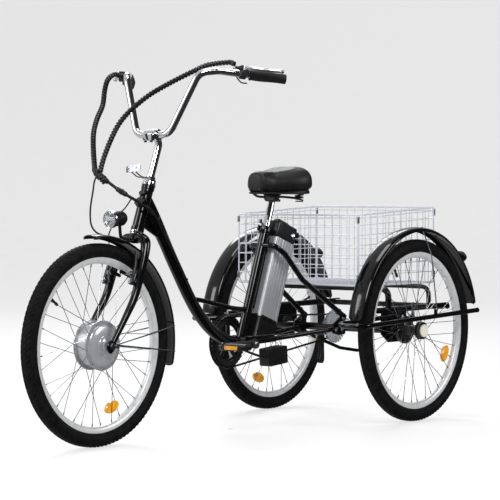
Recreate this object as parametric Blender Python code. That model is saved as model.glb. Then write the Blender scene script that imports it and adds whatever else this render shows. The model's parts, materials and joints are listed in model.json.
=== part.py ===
"""Adult tricycle with a front hub motor, a battery behind the seat tube and a wire basket.

Metres, +Z up. The tricycle points along -Y and +X is the rider's left. It is drawn about a point on the
ground midway between the axles, then moved a little forward, so that the origin is under the middle of its
overall box.
"""

from math import atan2, cos, hypot, pi, radians, sin

import bmesh
import bpy
from mathutils import Matrix, Vector

for old in list(bpy.data.objects):
    bpy.data.objects.remove(old)

# Driving dimensions
WHEEL_RADIUS = 0.3035
TYRE_HALF_WIDTH = 0.025
RIM_OUTER = 0.2600
RIM_INNER = 0.2440
RIM_HALF_WIDTH = 0.0130
FRONT_AXLE_Y = -0.609
REAR_AXLE_Y = 0.609
HALF_TRACK = 0.309
FIT_GAP = 0.0003

HEAD_ANGLE = radians(20.5)
HEAD_BOTTOM = Vector((0.0, -0.432, 0.640))
HEAD_LENGTH = 0.147
SEAT_ANGLE = radians(19.6)
CRANK_CENTRE = Vector((0.0, 0.064, 0.275))
SEAT_TUBE_LENGTH = 0.398
POST_TOP = 0.482
SADDLE_BASE_Z = 0.776

CRANK_LENGTH = 0.165
CHAIN_LINE = -0.047
CHAINRING_RADIUS = 0.0775
FREEWHEEL_RADIUS = 0.0345
CHAIN_HALF_HEIGHT = 0.0040
CHAIN_CLEARANCE = 0.0054

GRIP_START = Vector((0.246, -0.200, 1.1180))
GRIP_END = Vector((0.3190, -0.117, 1.1060))
BAR_CENTRE = Vector((0.0, -0.360, 0.934))
BAR_RADIUS = 0.0110

BASKET_FRONT = 0.363
BASKET_BACK = 0.805
BASKET_HALF_WIDTH = 0.253
BASKET_BOTTOM = 0.4560
BASKET_TOP = 0.7020
BASKET_WIRE = 0.0030

RAIL_X = 0.235
RAIL_Z = 0.370
GUARD_X = 0.362
CROSS_Y = 0.533
CROSS_RADIUS = 0.0125
PLATE_HALF_THICKNESS = 0.003

FENDER_RADIUS = 0.345
FENDER_END_DEGREES = 13

BATTERY_HALF_WIDTH = 0.037
BATTERY_FRONT = 0.0225
BATTERY_BACK = 0.1230
BATTERY_FOOT = 0.1000
BATTERY_TOP = 0.4300

TYRE_STEPS = 32
ROUND_STEPS = 12
AXLE_TURN = Matrix.Rotation(pi / 2, 4, "Y")


# Materials


def finish(name, colour, roughness, metallic=0.0):
    """A Principled material."""
    material = bpy.data.materials.new(name)
    material.use_nodes = True
    shader = material.node_tree.nodes["Principled BSDF"]
    shader.inputs["Base Color"].default_value = (*colour, 1.0)
    shader.inputs["Roughness"].default_value = roughness
    shader.inputs["Metallic"].default_value = metallic
    material.diffuse_color = (*colour, 1.0)
    return material


BLACK_PAINT = finish("black_paint", (0.012, 0.012, 0.014), 0.18)
CHROME = finish("chrome", (0.80, 0.80, 0.81), 0.08, 1.0)
SILVER = finish("silver", (0.62, 0.63, 0.65), 0.30, 1.0)
MOTOR_ALLOY = finish("motor_alloy", (0.55, 0.56, 0.58), 0.35, 1.0)
BATTERY_ALLOY = finish("battery_alloy", (0.50, 0.51, 0.53), 0.28, 1.0)
DARK_STEEL = finish("dark_steel", (0.06, 0.06, 0.065), 0.40, 1.0)
TYRE_RUBBER = finish("tyre_rubber", (0.020, 0.020, 0.020), 0.80)
GRIP_RUBBER = finish("grip_rubber", (0.030, 0.030, 0.032), 0.70)
BLACK_PLASTIC = finish("black_plastic", (0.022, 0.022, 0.024), 0.45)
CAP_PLASTIC = finish("cap_plastic", (0.030, 0.030, 0.032), 0.35)
CABLE_BLACK = finish("cable_black", (0.018, 0.018, 0.018), 0.50)
SADDLE_SKIN = finish("saddle_skin", (0.018, 0.018, 0.019), 0.55)
BASKET_WHITE = finish("basket_white", (0.78, 0.79, 0.84), 0.30)
TAIL_RED = finish("tail_red", (0.55, 0.03, 0.03), 0.20)


# Mesh tools: every function returns a mesh in the frame it is given


def mesh_from(points, faces):
    """A mesh from points and faces."""
    mesh = bpy.data.meshes.new("shape")
    mesh.from_pydata([tuple(p) for p in points], [], faces)
    mesh.validate()
    return mesh


def moved(mesh, matrix):
    """The same mesh, moved by a matrix."""
    mesh.transform(matrix)
    return mesh


def at(x, y, z):
    """A translation matrix."""
    return Matrix.Translation((x, y, z))


def joined(meshes):
    """One mesh that holds several separate shells."""
    shape = bmesh.new()
    for mesh in meshes:
        shape.from_mesh(mesh)
    mesh = bpy.data.meshes.new("shape")
    shape.to_mesh(mesh)
    shape.free()
    return mesh


def evaluated(obj):
    """The object's mesh with its modifiers or bevel worked out; the object itself is removed."""
    bpy.context.view_layer.update()
    depsgraph = bpy.context.evaluated_depsgraph_get()
    mesh = bpy.data.meshes.new_from_object(obj.evaluated_get(depsgraph))
    bpy.data.objects.remove(obj)
    return mesh


def linked(name, data):
    """A new object in the scene."""
    obj = bpy.data.objects.new(name, data)
    bpy.context.scene.collection.objects.link(obj)
    return obj


def combined(mesh, others, operation):
    """The Boolean of a mesh with each of the others, in one frame."""
    base = linked("base", mesh)
    tools = [linked("tool", other) for other in others]
    for tool in tools:
        step = base.modifiers.new("join", "BOOLEAN")
        step.operation = operation
        step.solver = "EXACT"
        step.object = tool
    result = evaluated(base)
    for tool in tools:
        bpy.data.objects.remove(tool)
    return result


def fused(mesh, *others):
    """The union of overlapping solids."""
    return combined(mesh, others, "UNION")


def cut(mesh, *others):
    """The mesh with the others cut out of it."""
    return combined(mesh, others, "DIFFERENCE")


def block(size, centre=(0, 0, 0), bevel=0.0):
    """A box, with its edges bevelled by one flat."""
    shape = bmesh.new()
    bmesh.ops.create_cube(shape, size=1.0, matrix=at(*centre) @ Matrix.Diagonal((*size, 1.0)))
    if bevel:
        bmesh.ops.bevel(shape, geom=shape.edges[:], offset=bevel, segments=1, affect="EDGES")
    mesh = bpy.data.meshes.new("block")
    shape.to_mesh(mesh)
    shape.free()
    return mesh


def aimed(origin, direction):
    """A matrix that puts local Z along a direction."""
    turn = Vector(direction).to_track_quat("Z", "Y").to_matrix().to_4x4()
    return Matrix.Translation(Vector(origin)) @ turn


def rod(start, end, radius, sides=8):
    """A round bar between two points."""
    start = Vector(start)
    end = Vector(end)
    shape = bmesh.new()
    place = aimed((start + end) / 2, end - start)
    bmesh.ops.create_cone(
        shape,
        cap_ends=True,
        segments=sides,
        radius1=radius,
        radius2=radius,
        depth=(end - start).length,
        matrix=place,
    )
    mesh = bpy.data.meshes.new("rod")
    shape.to_mesh(mesh)
    shape.free()
    return mesh


def bent(points, bend_radius, steps=4):
    """The points of a path whose corners are rounded by arcs."""
    corners = [Vector(p) for p in points]
    path = [corners[0]]
    for before, corner, after in zip(corners, corners[1:], corners[2:]):
        back = (before - corner).normalized()
        ahead = (after - corner).normalized()
        half = back.angle(ahead) / 2
        reach = min((before - corner).length, (after - corner).length) * 0.48
        trim = min(bend_radius / max(sin(half) / cos(half), 1e-6), reach)
        for step in range(steps + 1):
            t = step / steps
            start = corner + back * trim
            end = corner + ahead * trim
            path.append(start * (1 - t) ** 2 + corner * 2 * t * (1 - t) + end * t**2)
    path.append(corners[-1])
    return path


def smooth_path(points, count):
    """Points spaced along a smooth Catmull-Rom curve through a route."""
    route = [Vector(p) for p in points]
    route = [2 * route[0] - route[1], *route, 2 * route[-1] - route[-2]]
    spans = len(route) - 3
    path = []
    for index in range(count):
        place = index * spans / (count - 1)
        span = min(int(place), spans - 1)
        t = place - span
        a, b, c, d = route[span : span + 4]
        bend = (2 * a - 5 * b + 4 * c - d) * t**2 + (3 * b - a - 3 * c + d) * t**3
        path.append(0.5 * (2 * b + (c - a) * t + bend))
    return path


def path_curve(points, radius, resolution):
    """A curve with a round bevel and filled ends through the points."""
    curve = bpy.data.curves.new("path", "CURVE")
    curve.dimensions = "3D"
    curve.bevel_depth = radius
    curve.bevel_resolution = resolution
    curve.use_fill_caps = True
    spline = curve.splines.new("POLY")
    spline.points.add(len(points) - 1)
    for point, place in zip(spline.points, points):
        point.co = (*place, 1.0)
    return curve


def tube(points, radius, resolution=4):
    """A round bar along a path, with filled ends, as a mesh."""
    mesh = evaluated(linked("path", path_curve(points, radius, resolution)))
    shape = bmesh.new()
    shape.from_mesh(mesh)
    bmesh.ops.remove_doubles(shape, verts=shape.verts[:], dist=1e-6)
    shape.to_mesh(mesh)
    shape.free()
    return facing_out(mesh)


def turned(profile, steps=ROUND_STEPS, ring=False):
    """A solid turned about local Z from a (radius, height) profile; a ring's profile closes."""
    points = []
    rows = []
    for radius, height in profile:
        if radius < 1e-6:
            rows.append([len(points)])
            points.append((0.0, 0.0, height))
            continue
        rows.append(list(range(len(points), len(points) + steps)))
        for step in range(steps):
            angle = 2 * pi * (step + 0.5) / steps
            points.append((radius * cos(angle), radius * sin(angle), height))
    faces = []
    pairs = list(zip(rows, rows[1:] + rows[:1])) if ring else list(zip(rows, rows[1:]))
    for low, high in pairs:
        for step in range(steps):
            after = (step + 1) % steps
            if len(low) == 1 and len(high) == 1:
                continue
            if len(low) == 1:
                faces.append((low[0], high[after], high[step]))
            elif len(high) == 1:
                faces.append((low[step], low[after], high[0]))
            else:
                faces.append((low[step], low[after], high[after], high[step]))
    mesh = mesh_from(points, faces)
    return facing_out(mesh)


def facing_out(mesh):
    """The mesh with its faces turned outwards."""
    shape = bmesh.new()
    shape.from_mesh(mesh)
    bmesh.ops.recalc_face_normals(shape, faces=shape.faces[:])
    if shape.calc_volume(signed=True) < 0:
        bmesh.ops.reverse_faces(shape, faces=shape.faces[:])
    shape.to_mesh(mesh)
    shape.free()
    return mesh


def slab(outline, low, high, hole=None):
    """A flat piece in the YZ plane between two X values, with a hole of as many points as its outline."""
    count = len(outline)
    points = [(low, y, z) for y, z in outline] + [(high, y, z) for y, z in outline]
    sides = [(i, (i + 1) % count, count + (i + 1) % count, count + i) for i in range(count)]
    if hole is None:
        faces = sides + [tuple(range(count)), tuple(range(2 * count - 1, count - 1, -1))]
        return facing_out(mesh_from(points, faces))
    points += [(low, y, z) for y, z in hole] + [(high, y, z) for y, z in hole]
    inner = 2 * count
    for i in range(count):
        after = (i + 1) % count
        sides.append((inner + i, inner + after, inner + count + after, inner + count + i))
        sides.append((i, after, inner + after, inner + i))
        sides.append((count + i, count + after, inner + count + after, inner + count + i))
    return facing_out(mesh_from(points, sides))


def arc_channel(section, centre_y, centre_z, start, end, steps):
    """A closed (radius, x) section carried round an arc in the YZ plane; degrees from +Y, with flat ends."""
    points = []
    width = len(section)
    for step in range(steps + 1):
        angle = radians(start + (end - start) * step / steps)
        for radius, x in section:
            points.append((x, centre_y + radius * cos(angle), centre_z + radius * sin(angle)))
    faces = [tuple(range(width)), tuple(range(steps * width, (steps + 1) * width))]
    for step in range(steps):
        for i in range(width):
            after = (i + 1) % width
            near, far = step * width, (step + 1) * width
            faces.append((near + i, near + after, far + after, far + i))
    return facing_out(mesh_from(points, faces))


def add(name, mesh, material, parent=None, sharp=40):
    """Puts a finished sub-part in the scene."""
    mesh.materials.clear()
    mesh.materials.append(material)
    mesh.shade_smooth()
    mesh.set_sharp_from_angle(angle=radians(sharp))
    obj = linked(name, mesh)
    obj.parent = parent
    return obj


def add_cord(name, route, count, radius, parent=None, frame=None):
    """A cable that the tricycle holds along its whole route, given in world coordinates."""
    points = smooth_path(route, count)
    if frame:
        points = [frame.inverted() @ point for point in points]
    curve = path_curve(points, radius, 2)
    curve.materials.append(CABLE_BLACK)
    obj = linked(name, curve)
    obj.parent = parent
    return obj


def empty(name, place, parent=None):
    """A joint frame that sub-parts hang on; its place is in world coordinates."""
    obj = linked(name, None)
    obj.empty_display_size = 0.05
    obj.parent = parent
    parent_place = parent["place"] if parent else None
    base = Matrix([parent_place[i : i + 4] for i in range(0, 16, 4)]) if parent else Matrix.Identity(4)
    obj.matrix_basis = base.inverted() @ place
    obj["place"] = [value for row in place for value in row]
    return obj


def in_frame(place, mesh):
    """A mesh drawn in world coordinates, brought into a joint frame."""
    return moved(mesh, place.inverted())


# Joint frames: local Z of the head frame runs up the steering axis, and of the seat frame up the seat tube

HEAD = Matrix.Translation(HEAD_BOTTOM) @ Matrix.Rotation(-HEAD_ANGLE, 4, "X")
SEAT = Matrix.Translation(CRANK_CENTRE) @ Matrix.Rotation(-SEAT_ANGLE, 4, "X")
FRONT_AXLE = at(0, FRONT_AXLE_Y, WHEEL_RADIUS)
LEFT_REAR = at(HALF_TRACK, REAR_AXLE_Y, WHEEL_RADIUS)
RIGHT_REAR = at(-HALF_TRACK, REAR_AXLE_Y, WHEEL_RADIUS)
REAR_AXLE = at(0, REAR_AXLE_Y, WHEEL_RADIUS)
CONTROLLER_PLACE = at(0.004, 0.250, 0.2240) @ Matrix.Rotation(radians(5), 4, "X")


def head_point(x, back, up):
    """World place of a point in the head frame."""
    return HEAD @ Vector((x, back, up))


def seat_point(x, back, up):
    """World place of a point in the seat frame."""
    return SEAT @ Vector((x, back, up))


# Frame


DOWN_TUBE = [
    (0, -0.405, 0.722),
    (0, -0.331, 0.640),
    (0, -0.261, 0.537),
    (0, -0.184, 0.426),
    (0, -0.126, 0.361),
    (0, -0.066, 0.315),
    (0, -0.007, 0.288),
    (0, 0.064, 0.276),
]
DOWN_TUBE_RADIUS = 0.0185
SEAT_TUBE_RADIUS = 0.0165
SEAT_TUBE_BORE = 0.0138
STAY_RADIUS = 0.0092
PLATE_X = 0.083


def stay_end_plate(side):
    """The flat lug where a seat stay and a chain stay meet, bolted to the carriage."""
    back = CROSS_Y - CROSS_RADIUS - 0.0005
    outline = [(0.455, 0.290), (0.490, 0.284), (back, 0.286), (back, 0.330)]
    outline += [(CROSS_Y, 0.350), (0.518, 0.356), (0.455, 0.322)]
    return slab(outline, side * PLATE_X - 0.004, side * PLATE_X + 0.004)


def make_front_frame():
    """Head tube, step-through down tube, brace, seat tube with its clamp, shell and stays, all welded."""
    head = turned([(0.0, 0.0), (0.0195, 0.0), (0.0195, HEAD_LENGTH), (0.0, HEAD_LENGTH)])
    head = moved(head, HEAD)
    down = tube(smooth_path(DOWN_TUBE, 11), DOWN_TUBE_RADIUS, 3)
    gusset = slab([(-0.418, 0.716), (-0.352, 0.736), (-0.300, 0.640), (-0.340, 0.610)], -0.006, 0.006)
    brace_route = [(0, -0.175, 0.425), (0, -0.120, 0.418), (0, -0.037, 0.401)]
    brace_route += [(0, 0.035, 0.388), (0, 0.103, 0.383)]
    brace = tube(smooth_path(brace_route, 5), 0.0075, 2)
    seat_tube = tube([seat_point(0, 0, 0), seat_point(0, 0, SEAT_TUBE_LENGTH)], SEAT_TUBE_RADIUS, 3)
    shell = rod((-0.034, *CRANK_CENTRE.yz), (0.034, *CRANK_CENTRE.yz), 0.0215, ROUND_STEPS)
    parts = [head, gusset, brace, seat_tube, shell]
    for side in (-1, 1):
        stay = [
            (0, 0.172, 0.588),
            (side * 0.049, 0.177, 0.591),
            (side * 0.060, 0.222, 0.560),
            (side * 0.067, 0.305, 0.475),
            (side * PLATE_X, 0.518, 0.343),
        ]
        parts.append(tube(bent(stay, 0.03, 2), STAY_RADIUS, 2))
        chain_stay = [(side * 0.020, 0.080, 0.276), (side * 0.036, 0.200, 0.284)]
        chain_stay.append((side * PLATE_X, 0.475, 0.305))
        parts.append(tube(bent(chain_stay, 0.2, 1), STAY_RADIUS, 2))
        parts.append(stay_end_plate(side))
    top = SEAT_TUBE_LENGTH
    collar = turned([(0.0, top - 0.024), (0.0205, top - 0.024), (0.0205, top - 0.004), (0.0, top - 0.004)])
    ear = block((0.018, 0.020, 0.018), (0.0, -0.0230, top - 0.014), 0.001)
    parts += [moved(collar, SEAT), moved(ear, SEAT)]
    frame = fused(down, *parts)
    steerer_bore = moved(turned([(0.0, -0.02), (0.0150, -0.02), (0.0150, 0.2), (0.0, 0.2)]), HEAD)
    seat_bore = moved(turned([(0.0, 0.19), (SEAT_TUBE_BORE, 0.19), (SEAT_TUBE_BORE, 0.5), (0.0, 0.5)]), SEAT)
    axle_bore = rod((-0.05, *CRANK_CENTRE.yz), (0.05, *CRANK_CENTRE.yz), 0.0120, ROUND_STEPS)
    add("front_frame", cut(frame, steerer_bore, seat_bore, axle_bore), BLACK_PAINT)


def make_headset():
    """The bearing cups above and below the head tube, with the nut over the upper one."""
    lower_profile = [(0.0135, -0.0120), (0.0185, -0.0120), (0.0210, -0.0040)]
    lower_profile += [(0.0205, -FIT_GAP), (0.0135, -FIT_GAP)]
    add("lower_headset", moved(turned(lower_profile, ring=True), HEAD), CHROME)
    foot = HEAD_LENGTH + FIT_GAP
    upper_profile = [(0.0135, foot), (0.0205, foot), (0.0215, foot + 0.006)]
    upper_profile += [(0.0190, foot + 0.013), (0.0165, foot + 0.024), (0.0135, foot + 0.024)]
    add("upper_headset", moved(turned(upper_profile, ring=True), HEAD), CHROME)


def make_rear_carriage():
    """Side rails, cross tubes, axle plates, basket hoops and the derailleur guard, welded into one piece."""
    front_y = CROSS_Y
    back_y = 0.890
    cross_z = 0.306
    front_cross = tube([(-RAIL_X, front_y, cross_z), (RAIL_X, front_y, cross_z)], CROSS_RADIUS, 2)
    parts = [tube([(-RAIL_X, back_y, RAIL_Z), (RAIL_X, back_y, RAIL_Z)], 0.0100, 2)]
    for side in (-1, 1):
        x = side * RAIL_X
        parts.append(tube([(x, 0.500, RAIL_Z), (x, 0.915, RAIL_Z + 0.004)], 0.0100, 2))
        plate = [(0.520, 0.290), (0.560, 0.262), (0.650, 0.262)]
        plate += [(0.672, 0.300), (0.660, 0.372), (0.520, 0.372)]
        parts.append(slab(plate, x - PLATE_HALF_THICKNESS, x + PLATE_HALF_THICKNESS))
    for y, radius in ((0.560, 0.0105), (0.800, 0.0080)):
        hoop = [(-RAIL_X, y, RAIL_Z), (-RAIL_X, y, 0.441), (RAIL_X, y, 0.441), (RAIL_X, y, RAIL_Z)]
        parts.append(tube(bent(hoop, 0.03, 3), radius, 2))
    guard = [(-0.140, front_y, cross_z), (-0.140, 0.590, 0.190), (-0.100, 0.640, 0.168)]
    guard += [(-0.100, 0.760, 0.200), (-0.100, 0.780, RAIL_Z - 0.02), (-0.100, back_y, RAIL_Z)]
    parts.append(tube(bent(guard, 0.03, 2), 0.0060, 2))
    carriage = fused(front_cross, *parts)
    hole = rod((-0.3, REAR_AXLE_Y, WHEEL_RADIUS), (0.3, REAR_AXLE_Y, WHEEL_RADIUS), 0.0200, ROUND_STEPS)
    add("rear_carriage", cut(carriage, hole), BLACK_PAINT)


def make_fender_rails():
    """The tube loop round the outside of each rear wheel that carries its fender."""
    for name, side in (("left_fender_rail", 1), ("right_fender_rail", -1)):
        route = [
            (side * 0.2560, 0.560, 0.350),
            (side * 0.2560, 0.262, 0.338),
            (side * 0.2900, 0.228, 0.334),
            (side * 0.3350, 0.228, 0.334),
            (side * GUARD_X, 0.262, 0.335),
            (side * GUARD_X, 0.9125, 0.361),
        ]
        rail = tube(bent(route, 0.03, 3), 0.0080, 2)
        tab = block((0.0050, 0.016, 0.034), (side * GUARD_X, 0.655, 0.366), 0.001)
        add(name, fused(rail, tab), BLACK_PAINT)


def make_rear_fenders():
    """A crowned channel over each rear wheel."""
    half = [(-0.0130, 0.0320), (-0.0040, 0.0220), (0.0, 0.0)]
    outer = [(rise, -x) for rise, x in half] + [(rise, x) for rise, x in reversed(half[:-1])]
    section = [(FENDER_RADIUS + rise, x) for rise, x in outer]
    section += [(FENDER_RADIUS + rise - 0.0023, x * 0.95) for rise, x in reversed(outer)]
    for name, side in (("left_rear_fender", 1), ("right_rear_fender", -1)):
        fender = arc_channel(section, REAR_AXLE_Y, WHEEL_RADIUS, 172, FENDER_END_DEGREES, 14)
        add(name, moved(fender, at(side * HALF_TRACK, 0, 0)), BLACK_PAINT)


def make_tail_lights():
    """A round red lamp on a stalk behind each rear fender."""
    angle = radians(41)
    out = Vector((0, cos(angle), sin(angle)))
    for name, side in (("left_tail_light", 1), ("right_tail_light", -1)):
        foot = Vector((side * HALF_TRACK, REAR_AXLE_Y, WHEEL_RADIUS)) + out * (FENDER_RADIUS + FIT_GAP)
        profile = [(0.0, 0.0), (0.011, 0.0), (0.013, 0.012), (0.020, 0.018)]
        profile += [(0.021, 0.030), (0.015, 0.037), (0.0, 0.038)]
        lamp = turned(profile)
        add(name, moved(lamp, aimed(foot, out)), TAIL_RED)


def make_axle_bearings():
    """The ball bearing that carries the rear axle in each side plate."""
    for name, side in (("left_axle_bearing", 1), ("right_axle_bearing", -1)):
        profile = [(0.0105, -0.012), (0.0190, -0.012), (0.0190, 0.012), (0.0105, 0.012)]
        place = REAR_AXLE @ at(side * RAIL_X, 0, 0) @ AXLE_TURN
        add(name, moved(turned(profile, ring=True), place), DARK_STEEL)


def wire_panel(width, height, columns, rows):
    """A grid of wires in the local XY plane, as one closed lattice."""
    shape = bmesh.new()
    bmesh.ops.create_grid(shape, x_segments=columns, y_segments=rows, size=0.5)
    bmesh.ops.scale(shape, vec=(width, height, 1.0), verts=shape.verts)
    mesh = bpy.data.meshes.new("panel")
    shape.to_mesh(mesh)
    shape.free()
    obj = linked("panel", mesh)
    wires = obj.modifiers.new("wires", "WIREFRAME")
    wires.thickness = BASKET_WIRE
    wires.use_even_offset = True
    wires.use_boundary = True
    wires.use_replace = True
    return facing_out(evaluated(obj))


def make_basket():
    """Four wire sides and a floor, hooked together at their edges."""
    side_gap = BASKET_WIRE + 0.001
    length = BASKET_BACK - BASKET_FRONT
    height = BASKET_TOP - BASKET_BOTTOM
    middle_y = (BASKET_BACK + BASKET_FRONT) / 2
    middle_z = (BASKET_TOP + BASKET_BOTTOM) / 2
    upright = Matrix.Rotation(pi / 2, 4, "X")
    floor = wire_panel(2 * BASKET_HALF_WIDTH - 2 * side_gap, length - 2 * side_gap, 4, 3)
    add("basket_floor", moved(floor, at(0, middle_y, BASKET_BOTTOM)), BASKET_WHITE)
    for name, y in (("basket_front", BASKET_FRONT), ("basket_back", BASKET_BACK)):
        panel = wire_panel(2 * BASKET_HALF_WIDTH, height, 5, 2)
        add(name, moved(panel, at(0, y, middle_z) @ upright), BASKET_WHITE)
    for name, x in (("basket_left", BASKET_HALF_WIDTH), ("basket_right", -BASKET_HALF_WIDTH)):
        panel = wire_panel(length - 2 * side_gap, height, 4, 2)
        place = at(x, middle_y, middle_z) @ Matrix.Rotation(pi / 2, 4, "Z") @ upright
        add(name, moved(panel, place), BASKET_WHITE)


# Drive


def circle_tangent_loop(offset):
    """The (y, z) loop round the chainring and the freewheel, a given distance outside their teeth."""
    big = CHAINRING_RADIUS + CHAIN_CLEARANCE + offset
    small = FREEWHEEL_RADIUS + CHAIN_CLEARANCE + offset
    span_y = REAR_AXLE_Y - CRANK_CENTRE.y
    span_z = WHEEL_RADIUS - CRANK_CENTRE.z
    lean = atan2(span_z, span_y)
    open_angle = atan2((big - small), (hypot(span_y, span_z) ** 2 - (big - small) ** 2) ** 0.5)
    loop = []
    big_start = lean + pi / 2 - open_angle
    for step in range(19):
        angle = big_start + (pi + 2 * open_angle) * step / 18
        loop.append((CRANK_CENTRE.y + big * cos(angle), CRANK_CENTRE.z + big * sin(angle)))
    small_start = lean - pi / 2 + open_angle
    for step in range(11):
        angle = small_start + (pi - 2 * open_angle) * step / 10
        loop.append((REAR_AXLE_Y + small * cos(angle), WHEEL_RADIUS + small * sin(angle)))
    return loop


def make_chain():
    """The chain as a plain closed band round both sprockets."""
    outside = circle_tangent_loop(CHAIN_HALF_HEIGHT)
    inside = circle_tangent_loop(-CHAIN_HALF_HEIGHT)
    add("drive_chain", slab(outside, CHAIN_LINE - 0.004, CHAIN_LINE + 0.004, inside), DARK_STEEL)


def crank_arm(low, high):
    """A tapered arm along +Y from the crank axis, between two X values."""
    tip = CRANK_LENGTH + 0.013
    return slab([(-0.010, -0.0125), (-0.010, 0.0125), (tip, 0.011), (tip, -0.011)], low, high)


def chainset_mesh():
    """The right crank with its chainring, guard disc and the four posts that hold them together."""
    ring_profile = [(0.0, -0.0017), (CHAINRING_RADIUS, -0.0017), (CHAINRING_RADIUS, 0.0017), (0.0, 0.0017)]
    ring = moved(turned(ring_profile, 24), at(CHAIN_LINE, 0, 0) @ AXLE_TURN)
    guard_profile = [(0.068, -0.0012), (0.0850, -0.0012), (0.0850, 0.0012), (0.068, 0.0012)]
    guard = moved(turned(guard_profile, 24, ring=True), at(CHAIN_LINE - 0.0085, 0, 0) @ AXLE_TURN)
    posts = []
    for quarter in range(4):
        angle = 0.6 + quarter * pi / 2
        y, z = 0.073 * cos(angle), 0.073 * sin(angle)
        posts.append(rod((CHAIN_LINE - 0.0010, y, z), (CHAIN_LINE - 0.0090, y, z), 0.0045, 6))
    hub = rod((CHAIN_LINE + 0.0045, 0, 0), (-0.073, 0, 0), 0.0160, ROUND_STEPS)
    socket = rod((-0.0300, 0, 0), (-0.0406, 0, 0), 0.0112, ROUND_STEPS)
    return cut(fused(ring, hub, guard, *posts, crank_arm(-0.0700, -0.0585)), socket)


def pedal_mesh(side):
    """A block pedal with two slots and its spindle."""
    body = block((0.080, 0.062, 0.020), (side * 0.1230, 0, 0), 0.004)
    spindle = rod((side * 0.0703, 0, 0), (side * 0.100, 0, 0), 0.0065, 8)
    windows = [block((0.055, 0.013, 0.030), (side * 0.1240, y, 0)) for y in (-0.0165, 0.0165)]
    return cut(fused(body, spindle), *windows)


def make_crankset():
    """Axle with the left crank, the right crank with its chainring, and the two pedals."""
    centre = Matrix.Translation(CRANK_CENTRE)
    spin = empty("crank_spin", centre)
    axle = rod((-0.0400, 0, 0), (0.073, 0, 0), 0.0085, ROUND_STEPS)
    boss = rod((0.055, 0, 0), (0.073, 0, 0), 0.0150, ROUND_STEPS)
    arm = moved(crank_arm(-0.0700, -0.0575), Matrix.Rotation(pi, 4, "Z"))
    add("left_crank", fused(axle, boss, arm), DARK_STEEL, spin)
    add("chainset", chainset_mesh(), DARK_STEEL, spin)
    for name, side in (("left_pedal", 1), ("right_pedal", -1)):
        pedal_spin = empty(name + "_spin", centre @ at(0, -side * CRANK_LENGTH, 0), spin)
        add(name, pedal_mesh(side), BLACK_PLASTIC, pedal_spin)


def make_rear_axle():
    """The live axle with its brake drum, the freewheel with its spoke protector, and the band brake."""
    spin = empty("rear_axle_spin", REAR_AXLE)
    half_length = 0.348
    axle = turned([(0.0, -half_length), (0.0085, -half_length), (0.0085, half_length), (0.0, half_length)])
    drum = turned([(0.0, 0.262), (0.040, 0.262), (0.040, 0.275), (0.0, 0.275)])
    add("rear_axle", moved(fused(axle, drum), AXLE_TURN), DARK_STEEL, spin)
    profile = [(0.0105, -0.062), (0.0250, -0.062), (FREEWHEEL_RADIUS, -0.0495), (FREEWHEEL_RADIUS, -0.0440)]
    profile += [(0.036, -0.0425), (0.054, -0.0260), (0.056, -0.0240), (0.0105, -0.0240)]
    add("freewheel", moved(turned(profile, 20, ring=True), AXLE_TURN), SILVER, spin)
    band_profile = [(0.0425, 0.2625), (0.0465, 0.2625), (0.0465, 0.2745), (0.0425, 0.2745)]
    band = moved(turned(band_profile, ring=True), REAR_AXLE @ AXLE_TURN)
    anchor_low = RAIL_X + PLATE_HALF_THICKNESS + FIT_GAP
    anchor_high = 0.2745
    anchor_middle = ((anchor_low + anchor_high) / 2, 0.549, WHEEL_RADIUS)
    anchor = block((anchor_high - anchor_low, 0.036, 0.012), anchor_middle)
    add("rear_brake_band", fused(band, anchor), BLACK_PAINT)
    pivot = empty("rear_brake_pivot", at(0.2685, 0.655, 0.345))
    add("rear_brake_arm", block((0.008, 0.010, 0.055), (0, 0, 0.022), 0.002), SILVER, pivot)


def make_derailleur():
    """The changer body and its cage, hanging below the freewheel."""
    pivot = empty("derailleur_pivot", at(-0.068, 0.585, 0.262))
    body = block((0.018, 0.040, 0.024), (0, 0, 0), 0.004)
    cage = block((0.005, 0.018, 0.080), (0.0, 0.004, -0.038), 0.002)
    wheel = rod((-0.004, 0.004, -0.070), (0.0045, 0.004, -0.070), 0.0150, 12)
    add("derailleur", fused(body, cage, wheel), DARK_STEEL, pivot)


# Wheels


def tyre_mesh():
    """A round tyre with a narrow flat tread, about local Z."""
    tread = WHEEL_RADIUS / cos(pi / TYRE_STEPS)
    half = [(0.2611, 0.0125), (0.2700, 0.0220), (0.2800, TYRE_HALF_WIDTH), (0.2940, 0.0205), (tread, 0.0085)]
    profile = [(radius, -height) for radius, height in half]
    profile += [(radius, height) for radius, height in reversed(half)]
    return turned(profile, TYRE_STEPS, ring=True)


def rim_mesh():
    """A box section rim about local Z."""
    profile = [(RIM_INNER, -0.0060), (RIM_OUTER, -RIM_HALF_WIDTH)]
    profile += [(RIM_OUTER, RIM_HALF_WIDTH), (RIM_INNER, 0.0060)]
    return turned(profile, TYRE_STEPS, ring=True)


def spoke_meshes(hub_radius, hub_height, count):
    """Plain wires from two hub flanges to the rim."""
    wires = []
    for index in range(count):
        angle = 2 * pi * (index + 0.5) / count
        side = 1 if index % 2 else -1
        foot = (hub_radius * cos(angle), hub_radius * sin(angle), side * hub_height)
        tip = ((RIM_INNER + 0.006) * cos(angle), (RIM_INNER + 0.006) * sin(angle), side * 0.0015)
        wires.append(rod(foot, tip, 0.0013, 4))
    return wires


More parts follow.
